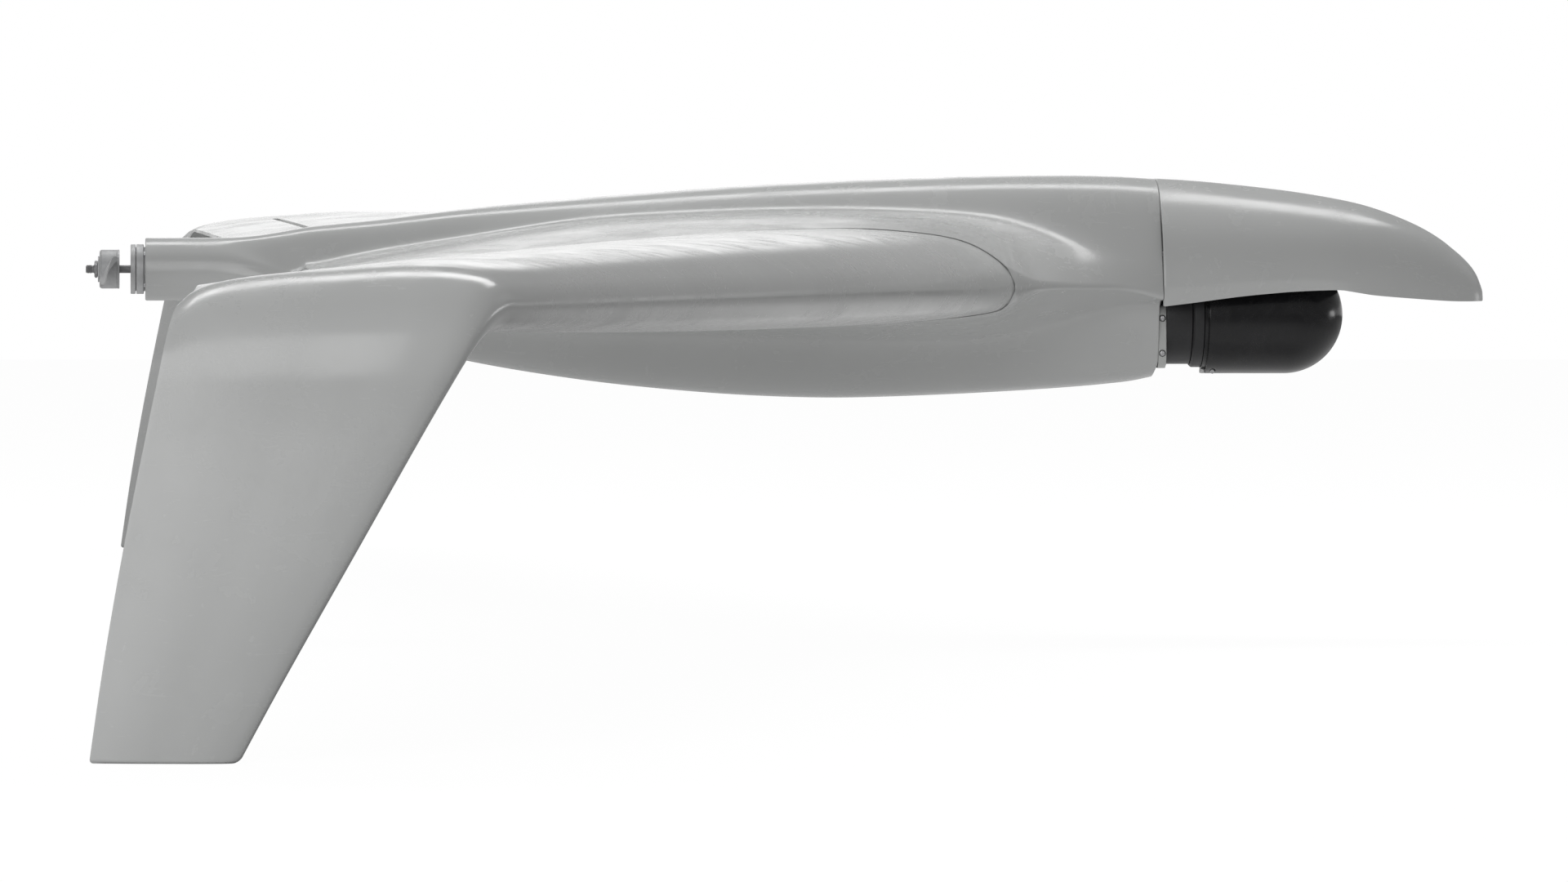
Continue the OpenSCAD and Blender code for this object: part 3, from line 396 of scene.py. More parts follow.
def hull_half(x):
    """(y, z) points of the outer left half section, crown to keel."""
    top, keel = faired(TOP_LINE, x, 14), faired(KEEL_LINE, x, 14)
    hump, fillet = faired(HUMP_WIDTH, x, 20), faired(FILLET_Z, x, 16)
    keel_width, keel_top = faired(KEEL_WIDTH, x, 20), faired(KEEL_TOP, x, 16)
    edge = min(ROOT_Y - ROOT_SEAM / 2, curve_at(EDGE_Y, x))
    upper, lower = edge_z(x, 1), edge_z(x, -1)
    rise, depth = top - fillet, keel_top - keel
    keel_y = keel_width + 14 * clamp((edge - keel_width) / 60)
    if x > RIB_FRONT:
        off_rib = clamp((x - RIB_FRONT) / RIB_BLEND)
    else:
        off_rib = clamp((RIB_BACK - x) / 6)
    radius = min(RIM_RADIUS, (upper - lower) * 0.45) * (1 - off_rib)
    bulge = (edge - 1.12 * hump) * clamp((x - 100) / 100)

    crown = (0.38 * hump, top - 0.02 * rise)
    shoulder = (1.12 * hump, fillet + 0.04 * rise)
    rim_up, rim_low = (edge - radius, upper), (edge - radius, lower)
    corner = (keel_y, keel_top)
    near, far = mix_points(shoulder, rim_up, 0.35), mix_points(shoulder, rim_up, 0.70)
    above = [crown, (0.72 * hump, top - 0.16 * rise), (0.95 * hump, top - 0.60 * rise), shoulder,
             (near[0], near[1] + 0.03 * bulge), (far[0], far[1] + 0.02 * bulge), rim_up]
    bottom = (0.45 * keel_width, keel + 0.005 * depth)
    below = [rim_low, mix_points(rim_low, corner, 0.35), mix_points(rim_low, corner, 0.78),
             (keel_y - 0.45 * (keel_y - keel_width), keel_top - 0.06 * depth),
             (keel_width, keel_top - 0.42 * depth), (0.86 * keel_width, keel + 0.10 * depth), bottom]
    upper_knots = centre_knots(crown, top)[::-1] + above + [beyond(rim_up, above[-2])]
    lower_knots = [beyond(rim_low, below[1])] + below + centre_knots(bottom, keel)

    if off_rib > 0:
        out_run = (rim_up[0] - above[-2][0], rim_up[1] - above[-2][1])
        in_run = (below[1][0] - rim_low[0], below[1][1] - rim_low[1])
        length = 1.8 * (upper - lower) * off_rib + 2.4 * radius
        cap = smooth_cap(rim_up, out_run, rim_low, in_run, length)
    else:
        cap = rib_cap(edge, upper, lower, radius)
    points = spline(upper_knots) + cap + spline(lower_knots)
    return towards_round(points, TUBE_RADIUS, ease((x - 35) / 65))


def cavity_half(x):
    """(y, z) points of the cavity's left half section, top to bottom."""
    top, low = faired(TOP_LINE, x, 14) - WALL, faired(KEEL_LINE, x, 14) + WALL
    wide, keel_width = curve_at(CAVITY_WIDTH, x), curve_at(KEEL_WIDTH, x) - 4.2
    crown, bottom = (0.38 * wide, top * 0.98), (0.45 * keel_width, low)
    upper_knots = (centre_knots(crown, top)[::-1]
                   + [crown, (0.72 * wide, top * 0.88), (0.95 * wide, top * 0.58)]
                   + [(wide, top * f) for f in (0.35, 0.2, 0.08, 0, -0.08)])
    lower_knots = [(wide, top * 0.04), (wide, -1), (mix(wide, keel_width, 0.4), low * 0.15),
                   (mix(wide, keel_width, 0.8), low * 0.32), (keel_width, low * 0.45),
                   (keel_width, low * 0.72), (0.88 * keel_width, low * 0.95), bottom]
    cap = [(wide, -i / (CAP_POINTS + 1)) for i in range(1, CAP_POINTS + 1)]
    points = spline(upper_knots) + cap + spline(lower_knots + centre_knots(bottom, low))
    return towards_round(points, BORE_RADIUS, ease((x - 62) / 38))


# ---------------------------------------------------------------- shader graphs
class Graph:
    """Node tree of a material or world, emptied; helpers return output sockets."""

    def __init__(self, owner):
        owner.use_nodes = True
        self.tree = owner.node_tree
        self.tree.nodes.clear()

    def feed(self, socket, value):
        if isinstance(value, bpy.types.NodeSocket):
            self.tree.links.new(value, socket)
        else:
            socket.default_value = (*value, 1.0) if socket.type == "RGBA" else value

    def add(self, kind, inputs=None, **settings):
        node = self.tree.nodes.new("ShaderNode" + kind)
        for key, value in settings.items():
            setattr(node, key, value)
        for key, value in (inputs or {}).items():
            self.feed(node.inputs[key], value)
        return node

    def remap(self, value, over, to=(0, 1), kind="SMOOTHSTEP"):
        inputs = {"From Min": over[0], "From Max": over[1], "To Min": to[0], "To Max": to[1],
                  "Value": value}
        return self.add("MapRange", inputs, interpolation_type=kind).outputs[0]

    def calc(self, operation, a, b=0.0):
        return self.add("Math", {0: a, 1: b}, operation=operation).outputs[0]

    def blend(self, factor, a, b):
        return self.add("Mix", {0: factor, 6: a, 7: b}, data_type="RGBA").outputs[2]

    def split_camera(self, lighting, seen, output):
        """Light the scene with one shader and show the camera another."""
        ray = self.add("LightPath").outputs["Is Camera Ray"]
        both = self.add("MixShader", {0: ray, 1: lighting, 2: seen})
        self.add(output, {0: both.outputs[0]})


MATERIALS = {}


class Shader(Graph):
    """A principled material, kept in MATERIALS under its name."""

    def __init__(self, name):
        MATERIALS[name] = bpy.data.materials.new(name)
        super().__init__(MATERIALS[name])
        self.surface = self.add("BsdfPrincipled")
        self.add("OutputMaterial", {0: self.surface.outputs[0]})
        self.coords = self.add("TexCoord").outputs["Object"]
        self.geometry = None
        self.normal = None

    def set(self, values):
        for key, value in values.items():
            self.feed(self.surface.inputs[key], value)

    def place(self, stretch):
        if stretch is None:
            return self.coords
        return self.add("Mapping", {"Scale": stretch, 0: self.coords}).outputs[0]

    def noise(self, scale, detail=4, rough=0.55, distortion=0.0, stretch=None):
        inputs = {"Scale": scale, "Detail": detail, "Roughness": rough,
                  "Distortion": distortion, "Vector": self.place(stretch)}
        return self.add("TexNoise", inputs).outputs["Fac"]

    def wave(self, scale, direction, distortion=0.0, stretch=None):
        inputs = {"Scale": scale, "Distortion": distortion, "Vector": self.place(stretch)}
        return self.add("TexWave", inputs, bands_direction=direction).outputs["Fac"]

    def two_tone(self, pattern, over, a, b):
        return self.blend(self.remap(pattern, over), a, b)

    def pointiness(self, over, to=(0, 1)):
        if self.geometry is None:
            self.geometry = self.add("NewGeometry")
        return self.remap(self.geometry.outputs["Pointiness"], over, to)

    def worn_edges(self, colour, worn, amount, over=(0.52, 0.60)):
        return self.blend(self.calc("MULTIPLY", self.pointiness(over), amount), colour, worn)

    def bump(self, height, depth, strength):
        """Add a bump on top of those already there."""
        inputs = {"Distance": depth, "Strength": strength, "Height": height}
        if self.normal:
            inputs["Normal"] = self.normal
        self.normal = self.add("Bump", inputs).outputs[0]
        self.feed(self.surface.inputs["Normal"], self.normal)


def shade(colour, gain, lift=0.0):
    return [min(1, v * gain + lift) for v in colour]


# ---------------------------------------------------------------- materials
def painted_seam_shade(mat):
    """1 on the narrow faces of the body's ribs where the wings butt, 0 elsewhere; it masks the
    painted shade in the root seams.
    """
    y = mat.add("SeparateXYZ", {0: mat.coords}).outputs["Y"]
    y = mat.calc("ABSOLUTE", y)
    return mat.calc("MULTIPLY", mat.remap(y, over=(0.14935, 0.1496)),
                    mat.remap(y, over=(0.15004, 0.15008), to=(1, 0)))


def painted_shell(name, base, rough):
    """Mottled grey paint with fine scratches, and painted shade on the rib faces in the root seams.
    """
    mat = Shader(name)
    tone = mat.noise(scale=3.2, detail=5, rough=0.6)
    fine = mat.noise(scale=42, detail=6, rough=0.62, distortion=0.6)
    cloud = mat.noise(scale=9, detail=6, rough=0.7, distortion=1.2)
    scratch = mat.noise(scale=60, detail=8, rough=0.75, distortion=1.5, stretch=(0.5, 1.6, 3.0))
    colour = mat.two_tone(tone, (0.35, 0.65), shade(base, 0.965), shade(base, 1.03))
    pale = mat.remap(cloud, over=(0.56, 0.72), to=(0, 0.13))
    colour = mat.blend(pale, colour, shade(base, 1.10))
    specks = mat.calc("MULTIPLY", mat.remap(fine, over=(0.60, 0.74), to=(0, 0.18)),
                      mat.remap(cloud, over=(0.45, 0.6)))
    colour = mat.blend(specks, colour, shade(base, 0.86))
    colour = mat.worn_edges(colour, shade(base, 1.25), amount=0.35, over=(0.53, 0.64))
    # painted shade: the rib faces in the wing-root seams are darkened towards near black
    colour = mat.blend(mat.calc("MULTIPLY", painted_seam_shade(mat), 0.72), colour, (0.10, 0.10, 0.10))
    gloss = mat.calc("ADD", mat.remap(cloud, over=(0.3, 0.7), to=(rough - 0.045, rough + 0.075)),
                     mat.remap(scratch, over=(0.55, 0.70), to=(0.0, 0.10)))
    gloss = mat.calc("ADD", gloss, mat.remap(fine, over=(0.35, 0.7), to=(-0.03, 0.05)))
    mat.set({"Base Color": colour, "Roughness": gloss, "Specular IOR Level": 0.42,
             "Coat Weight": 0.04, "Coat Roughness": 0.16})
    mat.bump(mat.noise(scale=650, detail=3, rough=0.5), depth=0.00004, strength=0.30)
    mat.bump(scratch, depth=0.00012, strength=0.10)
    mat.bump(mat.noise(scale=14, detail=3, rough=0.5), depth=0.0006, strength=0.22)


def moulded_plastic(name, base, rough):
    mat = Shader(name)
    grain = mat.noise(scale=1400, detail=3, rough=0.6)
    smudge = mat.noise(scale=55, detail=6, rough=0.65, distortion=0.8)
    colour = mat.two_tone(smudge, (0.4, 0.7), base, shade(base, 1.6, 0.003))
    colour = mat.worn_edges(colour, shade(base, 3, 0.03), amount=0.6)
    mat.set({"Base Color": colour, "Specular IOR Level": 0.5,
             "Roughness": mat.remap(smudge, over=(0.3, 0.7), to=(rough - 0.06, rough + 0.12))})
    mat.bump(grain, depth=0.00005, strength=0.5)
    mat.bump(smudge, depth=0.0002, strength=0.15)


def smoked_dome(name):
    mat = Shader(name)
    smudge = mat.noise(scale=38, detail=7, rough=0.7, distortion=1.4)
    dust = mat.noise(scale=900, detail=2, rough=0.5)
    colour = mat.two_tone(smudge, (0.4, 0.7), (0.007, 0.007, 0.008), (0.013, 0.013, 0.014))
    gloss = mat.calc("ADD", mat.remap(smudge, over=(0.35, 0.75), to=(0.15, 0.30)),
                     mat.remap(dust, over=(0.66, 0.74), to=(0, 0.2)))
    mat.set({"Base Color": colour, "Roughness": gloss, "Coat Weight": 0.12,
             "Coat Roughness": 0.18, "Specular IOR Level": 0.34})
    mat.bump(mat.noise(scale=20, detail=3, rough=0.5), depth=0.0004, strength=0.12)


def carbon_weave(name):
    mat = Shader(name)
    one = mat.wave(scale=260, direction="DIAGONAL", stretch=(1, 1, 1))
    other = mat.wave(scale=260, direction="DIAGONAL", stretch=(-1, 1, -1))
    twill = mat.calc("GREATER_THAN", mat.calc("SUBTRACT", one, other), 0.0)
    mat.set({"Base Color": mat.blend(twill, (0.012, 0.012, 0.013), (0.045, 0.045, 0.048)),
             "Roughness": mat.remap(mat.noise(scale=80), over=(0.3, 0.7), to=(0.22, 0.36)),
             "Coat Weight": 0.8, "Coat Roughness": 0.08})
    mat.bump(twill, depth=0.00005, strength=0.4)


def machined_metal(name, base, rough, lines, metallic, direction="X"):
    """Metal with fine tool lines across the given direction, and painted shade in its hollows."""
    mat = Shader(name)
    tooling = mat.wave(scale=lines, direction=direction, distortion=1.5)
    smudge = mat.noise(scale=70, detail=5, rough=0.65)
    stretch = (6, 1, 1) if direction == "X" else (1, 6, 1)
    fine = mat.noise(scale=300, detail=5, rough=0.7, stretch=stretch)
    colour = mat.two_tone(smudge, (0.35, 0.7), base, shade(base, 0.82))
    colour = mat.worn_edges(colour, shade(base, 1.25, 0.05), amount=0.7, over=(0.54, 0.62))
    # painted shade: concave places are darkened towards 30% of the base colour
    painted_hollow_shade = mat.calc("MULTIPLY", mat.pointiness(over=(0.42, 0.49), to=(1, 0)), 0.35)
    colour = mat.blend(painted_hollow_shade, colour, shade(base, 0.3))
    gloss = mat.calc("ADD", mat.remap(smudge, over=(0.3, 0.7), to=(rough - 0.07, rough + 0.10)),
                     mat.remap(fine, over=(0.4, 0.7), to=(0, 0.07)))
    mat.set({"Base Color": colour, "Metallic": metallic, "Roughness": gloss})
    mat.bump(tooling, depth=0.00003, strength=0.35)
    mat.bump(fine, depth=0.00002, strength=0.25)


def copper_winding(name):
    mat = Shader(name)
    turns = mat.wave(scale=900, direction="X", distortion=0.4)
    smudge = mat.noise(scale=120)
    mat.set({"Base Color": mat.blend(turns, (0.36, 0.13, 0.05), (0.72, 0.36, 0.18)),
             "Metallic": 0.9,
             "Roughness": mat.remap(smudge, over=(0.3, 0.7), to=(0.25, 0.42))})
    mat.bump(turns, depth=0.0002, strength=0.8)


def fibre_composite(name):
    mat = Shader(name)
    flow = mat.noise(scale=60, detail=6, rough=0.7, distortion=2.0, stretch=(1, 0.15, 1))
    grain = mat.noise(scale=1100, detail=2)
    colour = mat.two_tone(flow, (0.35, 0.7), (0.40, 0.405, 0.41), (0.49, 0.495, 0.50))
    colour = mat.worn_edges(colour, (0.72, 0.72, 0.72), amount=0.6, over=(0.53, 0.60))
    mat.set({"Base Color": colour, "Coat Weight": 0.05, "Metallic": 0.0,
             "Roughness": mat.remap(flow, over=(0.3, 0.7), to=(0.40, 0.52))})
    mat.bump(grain, depth=0.00003, strength=0.4)
    mat.bump(flow, depth=0.0002, strength=0.2)


def rubber(name, base):
    mat = Shader(name)
    grain = mat.noise(scale=800, detail=4, rough=0.6)
    smudge = mat.noise(scale=90, detail=5)
    mat.set({"Base Color": mat.two_tone(smudge, (0.35, 0.7), base, shade(base, 0.65)),
             "Roughness": mat.remap(smudge, over=(0.3, 0.7), to=(0.48, 0.66)),
             "Sheen Weight": 0.15})
    mat.bump(grain, depth=0.00006, strength=0.5)


def blue_wrap(name):
    mat = Shader(name)
    crease = mat.noise(scale=48, detail=6, rough=0.7, distortion=2.5, stretch=(0.4, 2.2, 1))
    tone = mat.noise(scale=20)
    colour = mat.two_tone(tone, (0.35, 0.65), (0.018, 0.045, 0.17), (0.028, 0.065, 0.22))
    mat.set({"Base Color": mat.worn_edges(colour, (0.10, 0.17, 0.36), amount=0.5),
             "Roughness": mat.remap(crease, over=(0.3, 0.7), to=(0.14, 0.30)),
             "Coat Weight": 0.6})
    mat.bump(crease, depth=0.0012, strength=0.45)


def woven_fabric(name, base):
    mat = Shader(name)
    x_threads, y_threads, z_threads = (mat.wave(scale=420, direction=d) for d in "XYZ")
    weave = mat.calc("MAXIMUM", mat.calc("MULTIPLY", x_threads, y_threads),
                     mat.calc("MULTIPLY", x_threads, z_threads))
    fuzz = mat.noise(scale=1500, detail=3)
    mat.set({"Base Color": mat.blend(weave, shade(base, 0.5), shade(base, 1.7, 0.01)),
             "Roughness": mat.remap(fuzz, over=(0.3, 0.7), to=(0.78, 0.95)),
             "Sheen Weight": 0.5})
    mat.bump(weave, depth=0.0003, strength=0.8)
    mat.bump(fuzz, depth=0.0001, strength=0.4)


def plywood(name):
    mat = Shader(name)
    grain = mat.noise(scale=34, detail=7, rough=0.7, distortion=1.6, stretch=(0.5, 9, 9))
    layers = mat.wave(scale=640, direction="Z")
    colour = mat.two_tone(grain, (0.3, 0.7), (0.62, 0.44, 0.24), (0.44, 0.28, 0.13))
    colour = mat.blend(mat.calc("MULTIPLY", layers, 0.25), colour, (0.26, 0.15, 0.07))
    mat.set({"Base Color": colour,
             "Roughness": mat.remap(grain, over=(0.3, 0.7), to=(0.5, 0.72))})
    mat.bump(grain, depth=0.0003, strength=0.5)


def circuit_board(name, base):
    mat = Shader(name)
    x_lines, y_lines = (mat.wave(scale=520, direction=d) for d in "XY")
    grid = mat.calc("MULTIPLY", x_lines, y_lines)
    smudge = mat.noise(scale=60, detail=5)
    mat.set({"Base Color": mat.blend(grid, base, shade(base, 1.8)),
             "Roughness": mat.remap(smudge, over=(0.3, 0.7), to=(0.28, 0.42)),
             "Coat Weight": 0.3})
    mat.bump(grid, depth=0.00006, strength=0.5)


def glossy_plastic(name, base, rough):
    mat = Shader(name)
    smudge = mat.noise(scale=45, detail=6, rough=0.65, distortion=0.6)
    grain = mat.noise(scale=900, detail=2)
    mat.set({"Base Color": mat.two_tone(smudge, (0.35, 0.7), base, shade(base, 0.93)),
             "Roughness": mat.remap(smudge, over=(0.3, 0.7), to=(rough - 0.05, rough + 0.12)),
             "Coat Weight": 0.25})
    mat.bump(grain, depth=0.00003, strength=0.35)
    mat.bump(smudge, depth=0.0002, strength=0.12)


def coated_lens(name):
    mat = Shader(name)
    grazing_reflection_mask = mat.add("LayerWeight", {0: 0.35}).outputs["Facing"]
    smudge = mat.noise(scale=70)
    # painted reflection: the base colour turns purple towards grazing angles, like the coating's
    # tinted reflection
    mat.set({"Base Color": mat.blend(grazing_reflection_mask, (0.010, 0.022, 0.050), (0.10, 0.03, 0.12)),
             "Roughness": mat.remap(smudge, over=(0.4, 0.8), to=(0.03, 0.10)),
             "Coat Weight": 1.0, "IOR": 1.6})
    mat.bump(mat.noise(scale=500, detail=2), depth=0.00001, strength=0.3)


def plain_paint(name, base, rough):
    mat = Shader(name)
    grain = mat.noise(scale=420, detail=4, rough=0.6)
    smudge = mat.noise(scale=30, detail=6, rough=0.65, distortion=0.6)
    colour = mat.two_tone(smudge, (0.35, 0.7), base, shade(base, 0.90))
    colour = mat.worn_edges(colour, (0.78, 0.78, 0.78), amount=0.5, over=(0.545, 0.61))
    mat.set({"Base Color": colour, "Coat Weight": 0.12,
             "Roughness": mat.remap(smudge, over=(0.3, 0.7), to=(rough - 0.05, rough + 0.12))})
    mat.bump(grain, depth=0.00004, strength=0.35)


def build_materials():
    painted_shell("shell_grey", base=(0.515, 0.522, 0.518), rough=0.22)
    moulded_plastic("black_plastic", base=(0.014, 0.014, 0.0155), rough=0.42)
    smoked_dome("smoked_dome")
    carbon_weave("carbon")
    machined_metal("motor_alloy", (0.54, 0.545, 0.55), rough=0.46, lines=2600, metallic=0.25)
    machined_metal("motor_dark", (0.27, 0.27, 0.275), rough=0.40, lines=2600, metallic=0.3)
    machined_metal("steel", (0.52, 0.52, 0.53), rough=0.28, lines=3200, metallic=0.8)
    copper_winding("copper")
    fibre_composite("prop_composite")
    rubber("wire_red", base=(0.42, 0.025, 0.02))
    rubber("wire_black", base=(0.02, 0.02, 0.021))
    blue_wrap("pack_wrap")
    woven_fabric("strap_fabric", base=(0.02, 0.02, 0.022))
    plywood("ply")
    circuit_board("board_green", base=(0.02, 0.055, 0.032))
    glossy_plastic("white_plastic", base=(0.74, 0.74, 0.72), rough=0.25)
    machined_metal("contact_gold", (0.75, 0.52, 0.20), rough=0.30, lines=1800, metallic=0.85,
                   direction="Z")
    coated_lens("lens_glass")
    plain_paint("flange_grey", base=(0.50, 0.51, 0.50), rough=0.38)


# ---------------------------------------------------------------- mesh tools
# A shape is a pair (vertices, faces) in the aircraft's frame.
def to_scene(x, y, z):
    return ((x - ORIGIN_X) * MM, y * MM, (z - FOOT_Z) * MM)


def fill_mesh(mesh, shape):
    verts, faces = shape
    mesh.from_pydata([to_scene(*v) for v in verts], [], faces)


def smooth(mesh, angle):
    for polygon in mesh.polygons:
        polygon.use_smooth = True
    mesh.set_sharp_from_angle(angle=math.radians(angle))


def add_piece(name, shape, material, body, node, angle=35):
    """Add a piece that rides on body and stands in for the CAD node."""
    mesh = bpy.data.meshes.new(name)
    fill_mesh(mesh, shape)
    mesh.validate(clean_customdata=False)
    work = bmesh.new()
    work.from_mesh(mesh)
    bmesh.ops.remove_doubles(work, verts=work.verts, dist=1e-7)
    bmesh.ops.recalc_face_normals(work, faces=work.faces)
    work.to_mesh(mesh)
    work.free()
    smooth(mesh, angle)
    piece = bpy.data.objects.new(name, mesh)
    bpy.context.scene.collection.objects.link(piece)
    mesh.materials.append(MATERIALS[material])
    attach(piece, body)
    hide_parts(node)
    return piece


def cut(piece, shape):
    """Subtract a closed shape from the piece and apply the result."""
    mesh = bpy.data.meshes.new("cutter")
    fill_mesh(mesh, shape)
    work = bmesh.new()
    work.from_mesh(mesh)
    bmesh.ops.recalc_face_normals(work, faces=work.faces)
    work.to_mesh(mesh)
    work.free()
    cutter = bpy.data.objects.new("cutter", mesh)
    bpy.context.scene.collection.objects.link(cutter)
    boolean = piece.modifiers.new("cut", "BOOLEAN")
    boolean.operation = "DIFFERENCE"
    boolean.object = cutter
    boolean.solver = "EXACT"
    graph = bpy.context.evaluated_depsgraph_get()
    result = bpy.data.meshes.new_from_object(piece.evaluated_get(graph))
    piece.modifiers.clear()
    old = piece.data
    piece.data = result
    bpy.data.meshes.remove(old)
    bpy.data.objects.remove(cutter)
    bpy.data.meshes.remove(mesh)


def join(*shapes):
    verts, faces = [], []
    for more_verts, more_faces in shapes:
        start = len(verts)
        verts += more_verts
        faces += [[i + start for i in face] for face in more_faces]
    return verts, faces


def mirror(shape, side):
    if side > 0:
        return shape
    return [(x, -y, z) for x, y, z in shape[0]], shape[1]


def skin(rings, looped=False):
    """Faces between successive rings; ends capped, or last ring joined to the first."""
    n, m = len(rings[0]), len(rings)
    verts = [tuple(p) for ring in rings for p in ring]
    faces = []
    for i in range(m if looped else m - 1):
        a, b = i * n, ((i + 1) % m) * n
        for j in range(n):
            k = (j + 1) % n
            faces.append([a + j, a + k, b + k, b + j])
    if not looped:
        faces.append(list(range(n))[::-1])
        faces.append([(m - 1) * n + j for j in range(n)])
    return verts, faces


def ring_about_x(x, radii, y=0.0, z=0.0):
    """Ring round a line along X, with one radius for each point."""
    n = len(radii)
    return [(x, y + r * math.sin(2 * math.pi * j / n), z + r * math.cos(2 * math.pi * j / n))
            for j, r in enumerate(radii)]


def lathe(profile, y=0.0, z=0.0, segments=96, closed=True):
    """Revolve (x, radius) points about a line along X; closed joins the last to the first."""
    verts, faces, loops = [], [], []
    for x, radius in profile:
        count = 1 if radius < 1e-6 else segments
        loops.append(list(range(len(verts), len(verts) + count)))
        verts += [(x, y, z)] if count == 1 else ring_about_x(x, [radius] * segments, y, z)
    m = len(profile)
    for i in range(m if closed else m - 1):
        a, b = loops[i], loops[(i + 1) % m]
        if len(a) == 1 and len(b) == 1:
            continue
        for j in range(segments):
            k = (j + 1) % segments
            if len(a) == 1:
                faces.append([a[0], b[k], b[j]])
            elif len(b) == 1:
                faces.append([a[j], a[k], b[0]])
            else:
                faces.append([a[j], a[k], b[k], b[j]])
    return verts, faces


def rounded(points, radius, steps=4):
    """Round every corner of a closed 2D outline by about radius."""
    outline = []
    for i in range(len(points)):
        before, corner, after = (np.array(points[j % len(points)], float)
                                 for j in (i - 1, i, i + 1))
        back, on = before - corner, after - corner
        back_len, on_len = np.linalg.norm(back), np.linalg.norm(on)
        trim = min(radius, back_len * 0.45, on_len * 0.45)
        start, end = corner + back / back_len * trim, corner + on / on_len * trim
        for k in range(steps + 1):
            t = k / steps
            outline.append(tuple((1 - t) ** 2 * start + 2 * t * (1 - t) * corner + t * t * end))
    return outline


def along_y(shape, x, y, z, side):
    """Turn a shape lathed about X to lie along Y, its +X pointing out to the given side."""
    return [(x + vz, y + side * vx, z + vy) for vx, vy, vz in shape[0]], shape[1]


def inset(ring, distance, axes=(1, 2)):
    """Move a closed ring inwards in its own plane."""
    points = np.array(ring, float)
    flat = points[:, axes]
    along = np.roll(flat, -1, 0) - np.roll(flat, 1, 0)
    along /= np.maximum(np.linalg.norm(along, axis=1, keepdims=True), 1e-9)
    outward = np.stack([along[:, 1], -along[:, 0]], 1)
    area = 0.5 * np.sum(flat[:, 0] * np.roll(flat[:, 1], -1) - np.roll(flat[:, 0], -1) * flat[:, 1])
    points[:, axes] = flat - outward * distance * (1 if area > 0 else -1)
    return [tuple(p) for p in points]


def inset_at_x(ring, x, distance):
    return [(x, y, z) for _, y, z in inset(ring, distance)]


def inset_at_y(ring, y, distance):
    return [(x, y, z) for x, _, z in inset(ring, distance, (0, 2))]


def box(xs, ys, zs):
    verts = [(x, y, z) for x in xs for y in ys for z in zs]
    return verts, [[0, 1, 3, 2], [4, 6, 7, 5], [0, 4, 5, 1], [2, 3, 7, 6], [0, 2, 6, 4], [1, 5, 7, 3]]


def bevel_box(xs, ys, zs, radius, segments=2):
    work = bmesh.new()
    bmesh.ops.create_cube(work, size=1.0)
    for v in work.verts:
        v.co = Vector([(a + b) / 2 + v.co[i] * (b - a) for i, (a, b) in enumerate((xs, ys, zs))])
    bmesh.ops.bevel(work, geom=work.edges[:], offset=radius, segments=segments, affect="EDGES",
                    profile=0.5)
    verts = [tuple(v.co) for v in work.verts]
    faces = [[v.index for v in face.verts] for face in work.faces]
    work.free()
    return verts, faces


def tube_y(x, z, ys, radius, segments=40):
    """Solid round rod along Y."""
    turns = [2 * math.pi * j / segments for j in range(segments)]
    return skin([[(x + radius * math.cos(a), y, z + radius * math.sin(a)) for a in turns]
                 for y in ys])


def out_to_side(side, near, far):
    """Range of y between two distances out from the centre line."""
    return sorted((side * near, side * far))


def mirrored_ring(x, half):
    """Full ring from left half-section points that start and end on the centre line."""
    return ([(x, y, z) for y, z in half]
            + [(x, -half[i][0], half[i][1]) for i in range(len(half) - 2, 0, -1)])


# ---------------------------------------------------------------- centre body
# bores across body and wings: x, z, radius, depth past the wing root
CROSS_BORES = ((300, -3, 6.05, 274), (150, -3.5, 4.05, 134))
POCKET_X, POCKET_Z = (234.9, 255.1), (-10.1, 0.1)  # square pocket across the root joint
CAVITY_X = [577.7, 575, 560, 540, 515, 490, 460, 430, 400, 370, 340, 310, 280, 250, 220, 190,
            160, 130, 110, 95, 84, 76, 68, 62, 40, 20, 1.0, 0.0]


def rake_chin(point):
    """Lean the foot of the front face back a little."""
    x, y, z = point
    return (x - 2.4 * clamp((x - 560) / 17.7) * ease((-z - 51) / 11), y, z)


def build_centre_body():
    stations = (spread(0.9, 35, 8) + spread(35, 80, 14) + spread(80, 91.6, 16) + [92.0]
                + spread(93.5, 470, 110) + spread(470, 480, 8) + spread(480, 486.4, 10)
                + spread(486.4, 560, 46) + spread(560, 576.9, 9) + [576.9])
    outer = [mirrored_ring(x, hull_half(x)) for x in stations]
    # rounded rims at tail and front: x, inset
    tail = [inset_at_x(outer[0], x, d) for x, d in ((0.0, 0.8), (0.12, 0.40), (0.4, 0.12))]
    front = [inset_at_x(outer[-1], x, d) for x, d in ((577.45, 0.05), (577.68, 0.2), (577.78, 0.5))]
    cavity = [mirrored_ring(x, cavity_half(x)) for x in CAVITY_X]
    rings = tail + outer + front + [inset_at_x(cavity[0], 577.78, -0.6)] + cavity
    shape = skin([[rake_chin(p) for p in ring] for ring in rings], looped=True)
    body = add_piece("centre_body_skin", shape, "shell_grey", "airframe", "centre_body", 30)
    for x, z, radius, _ in CROSS_BORES:
        cut(body, tube_y(x, z, (-160, 160), radius))
    for side in SIDES:
        cut(body, box(POCKET_X, out_to_side(side, 137.9, 151), POCKET_Z))
        front_hole = [(565, 0), (565, 2.05), (579, 2.05), (579, 0)]
        cut(body, lathe(front_hole, y=side * 43, z=10, segments=32, closed=False))


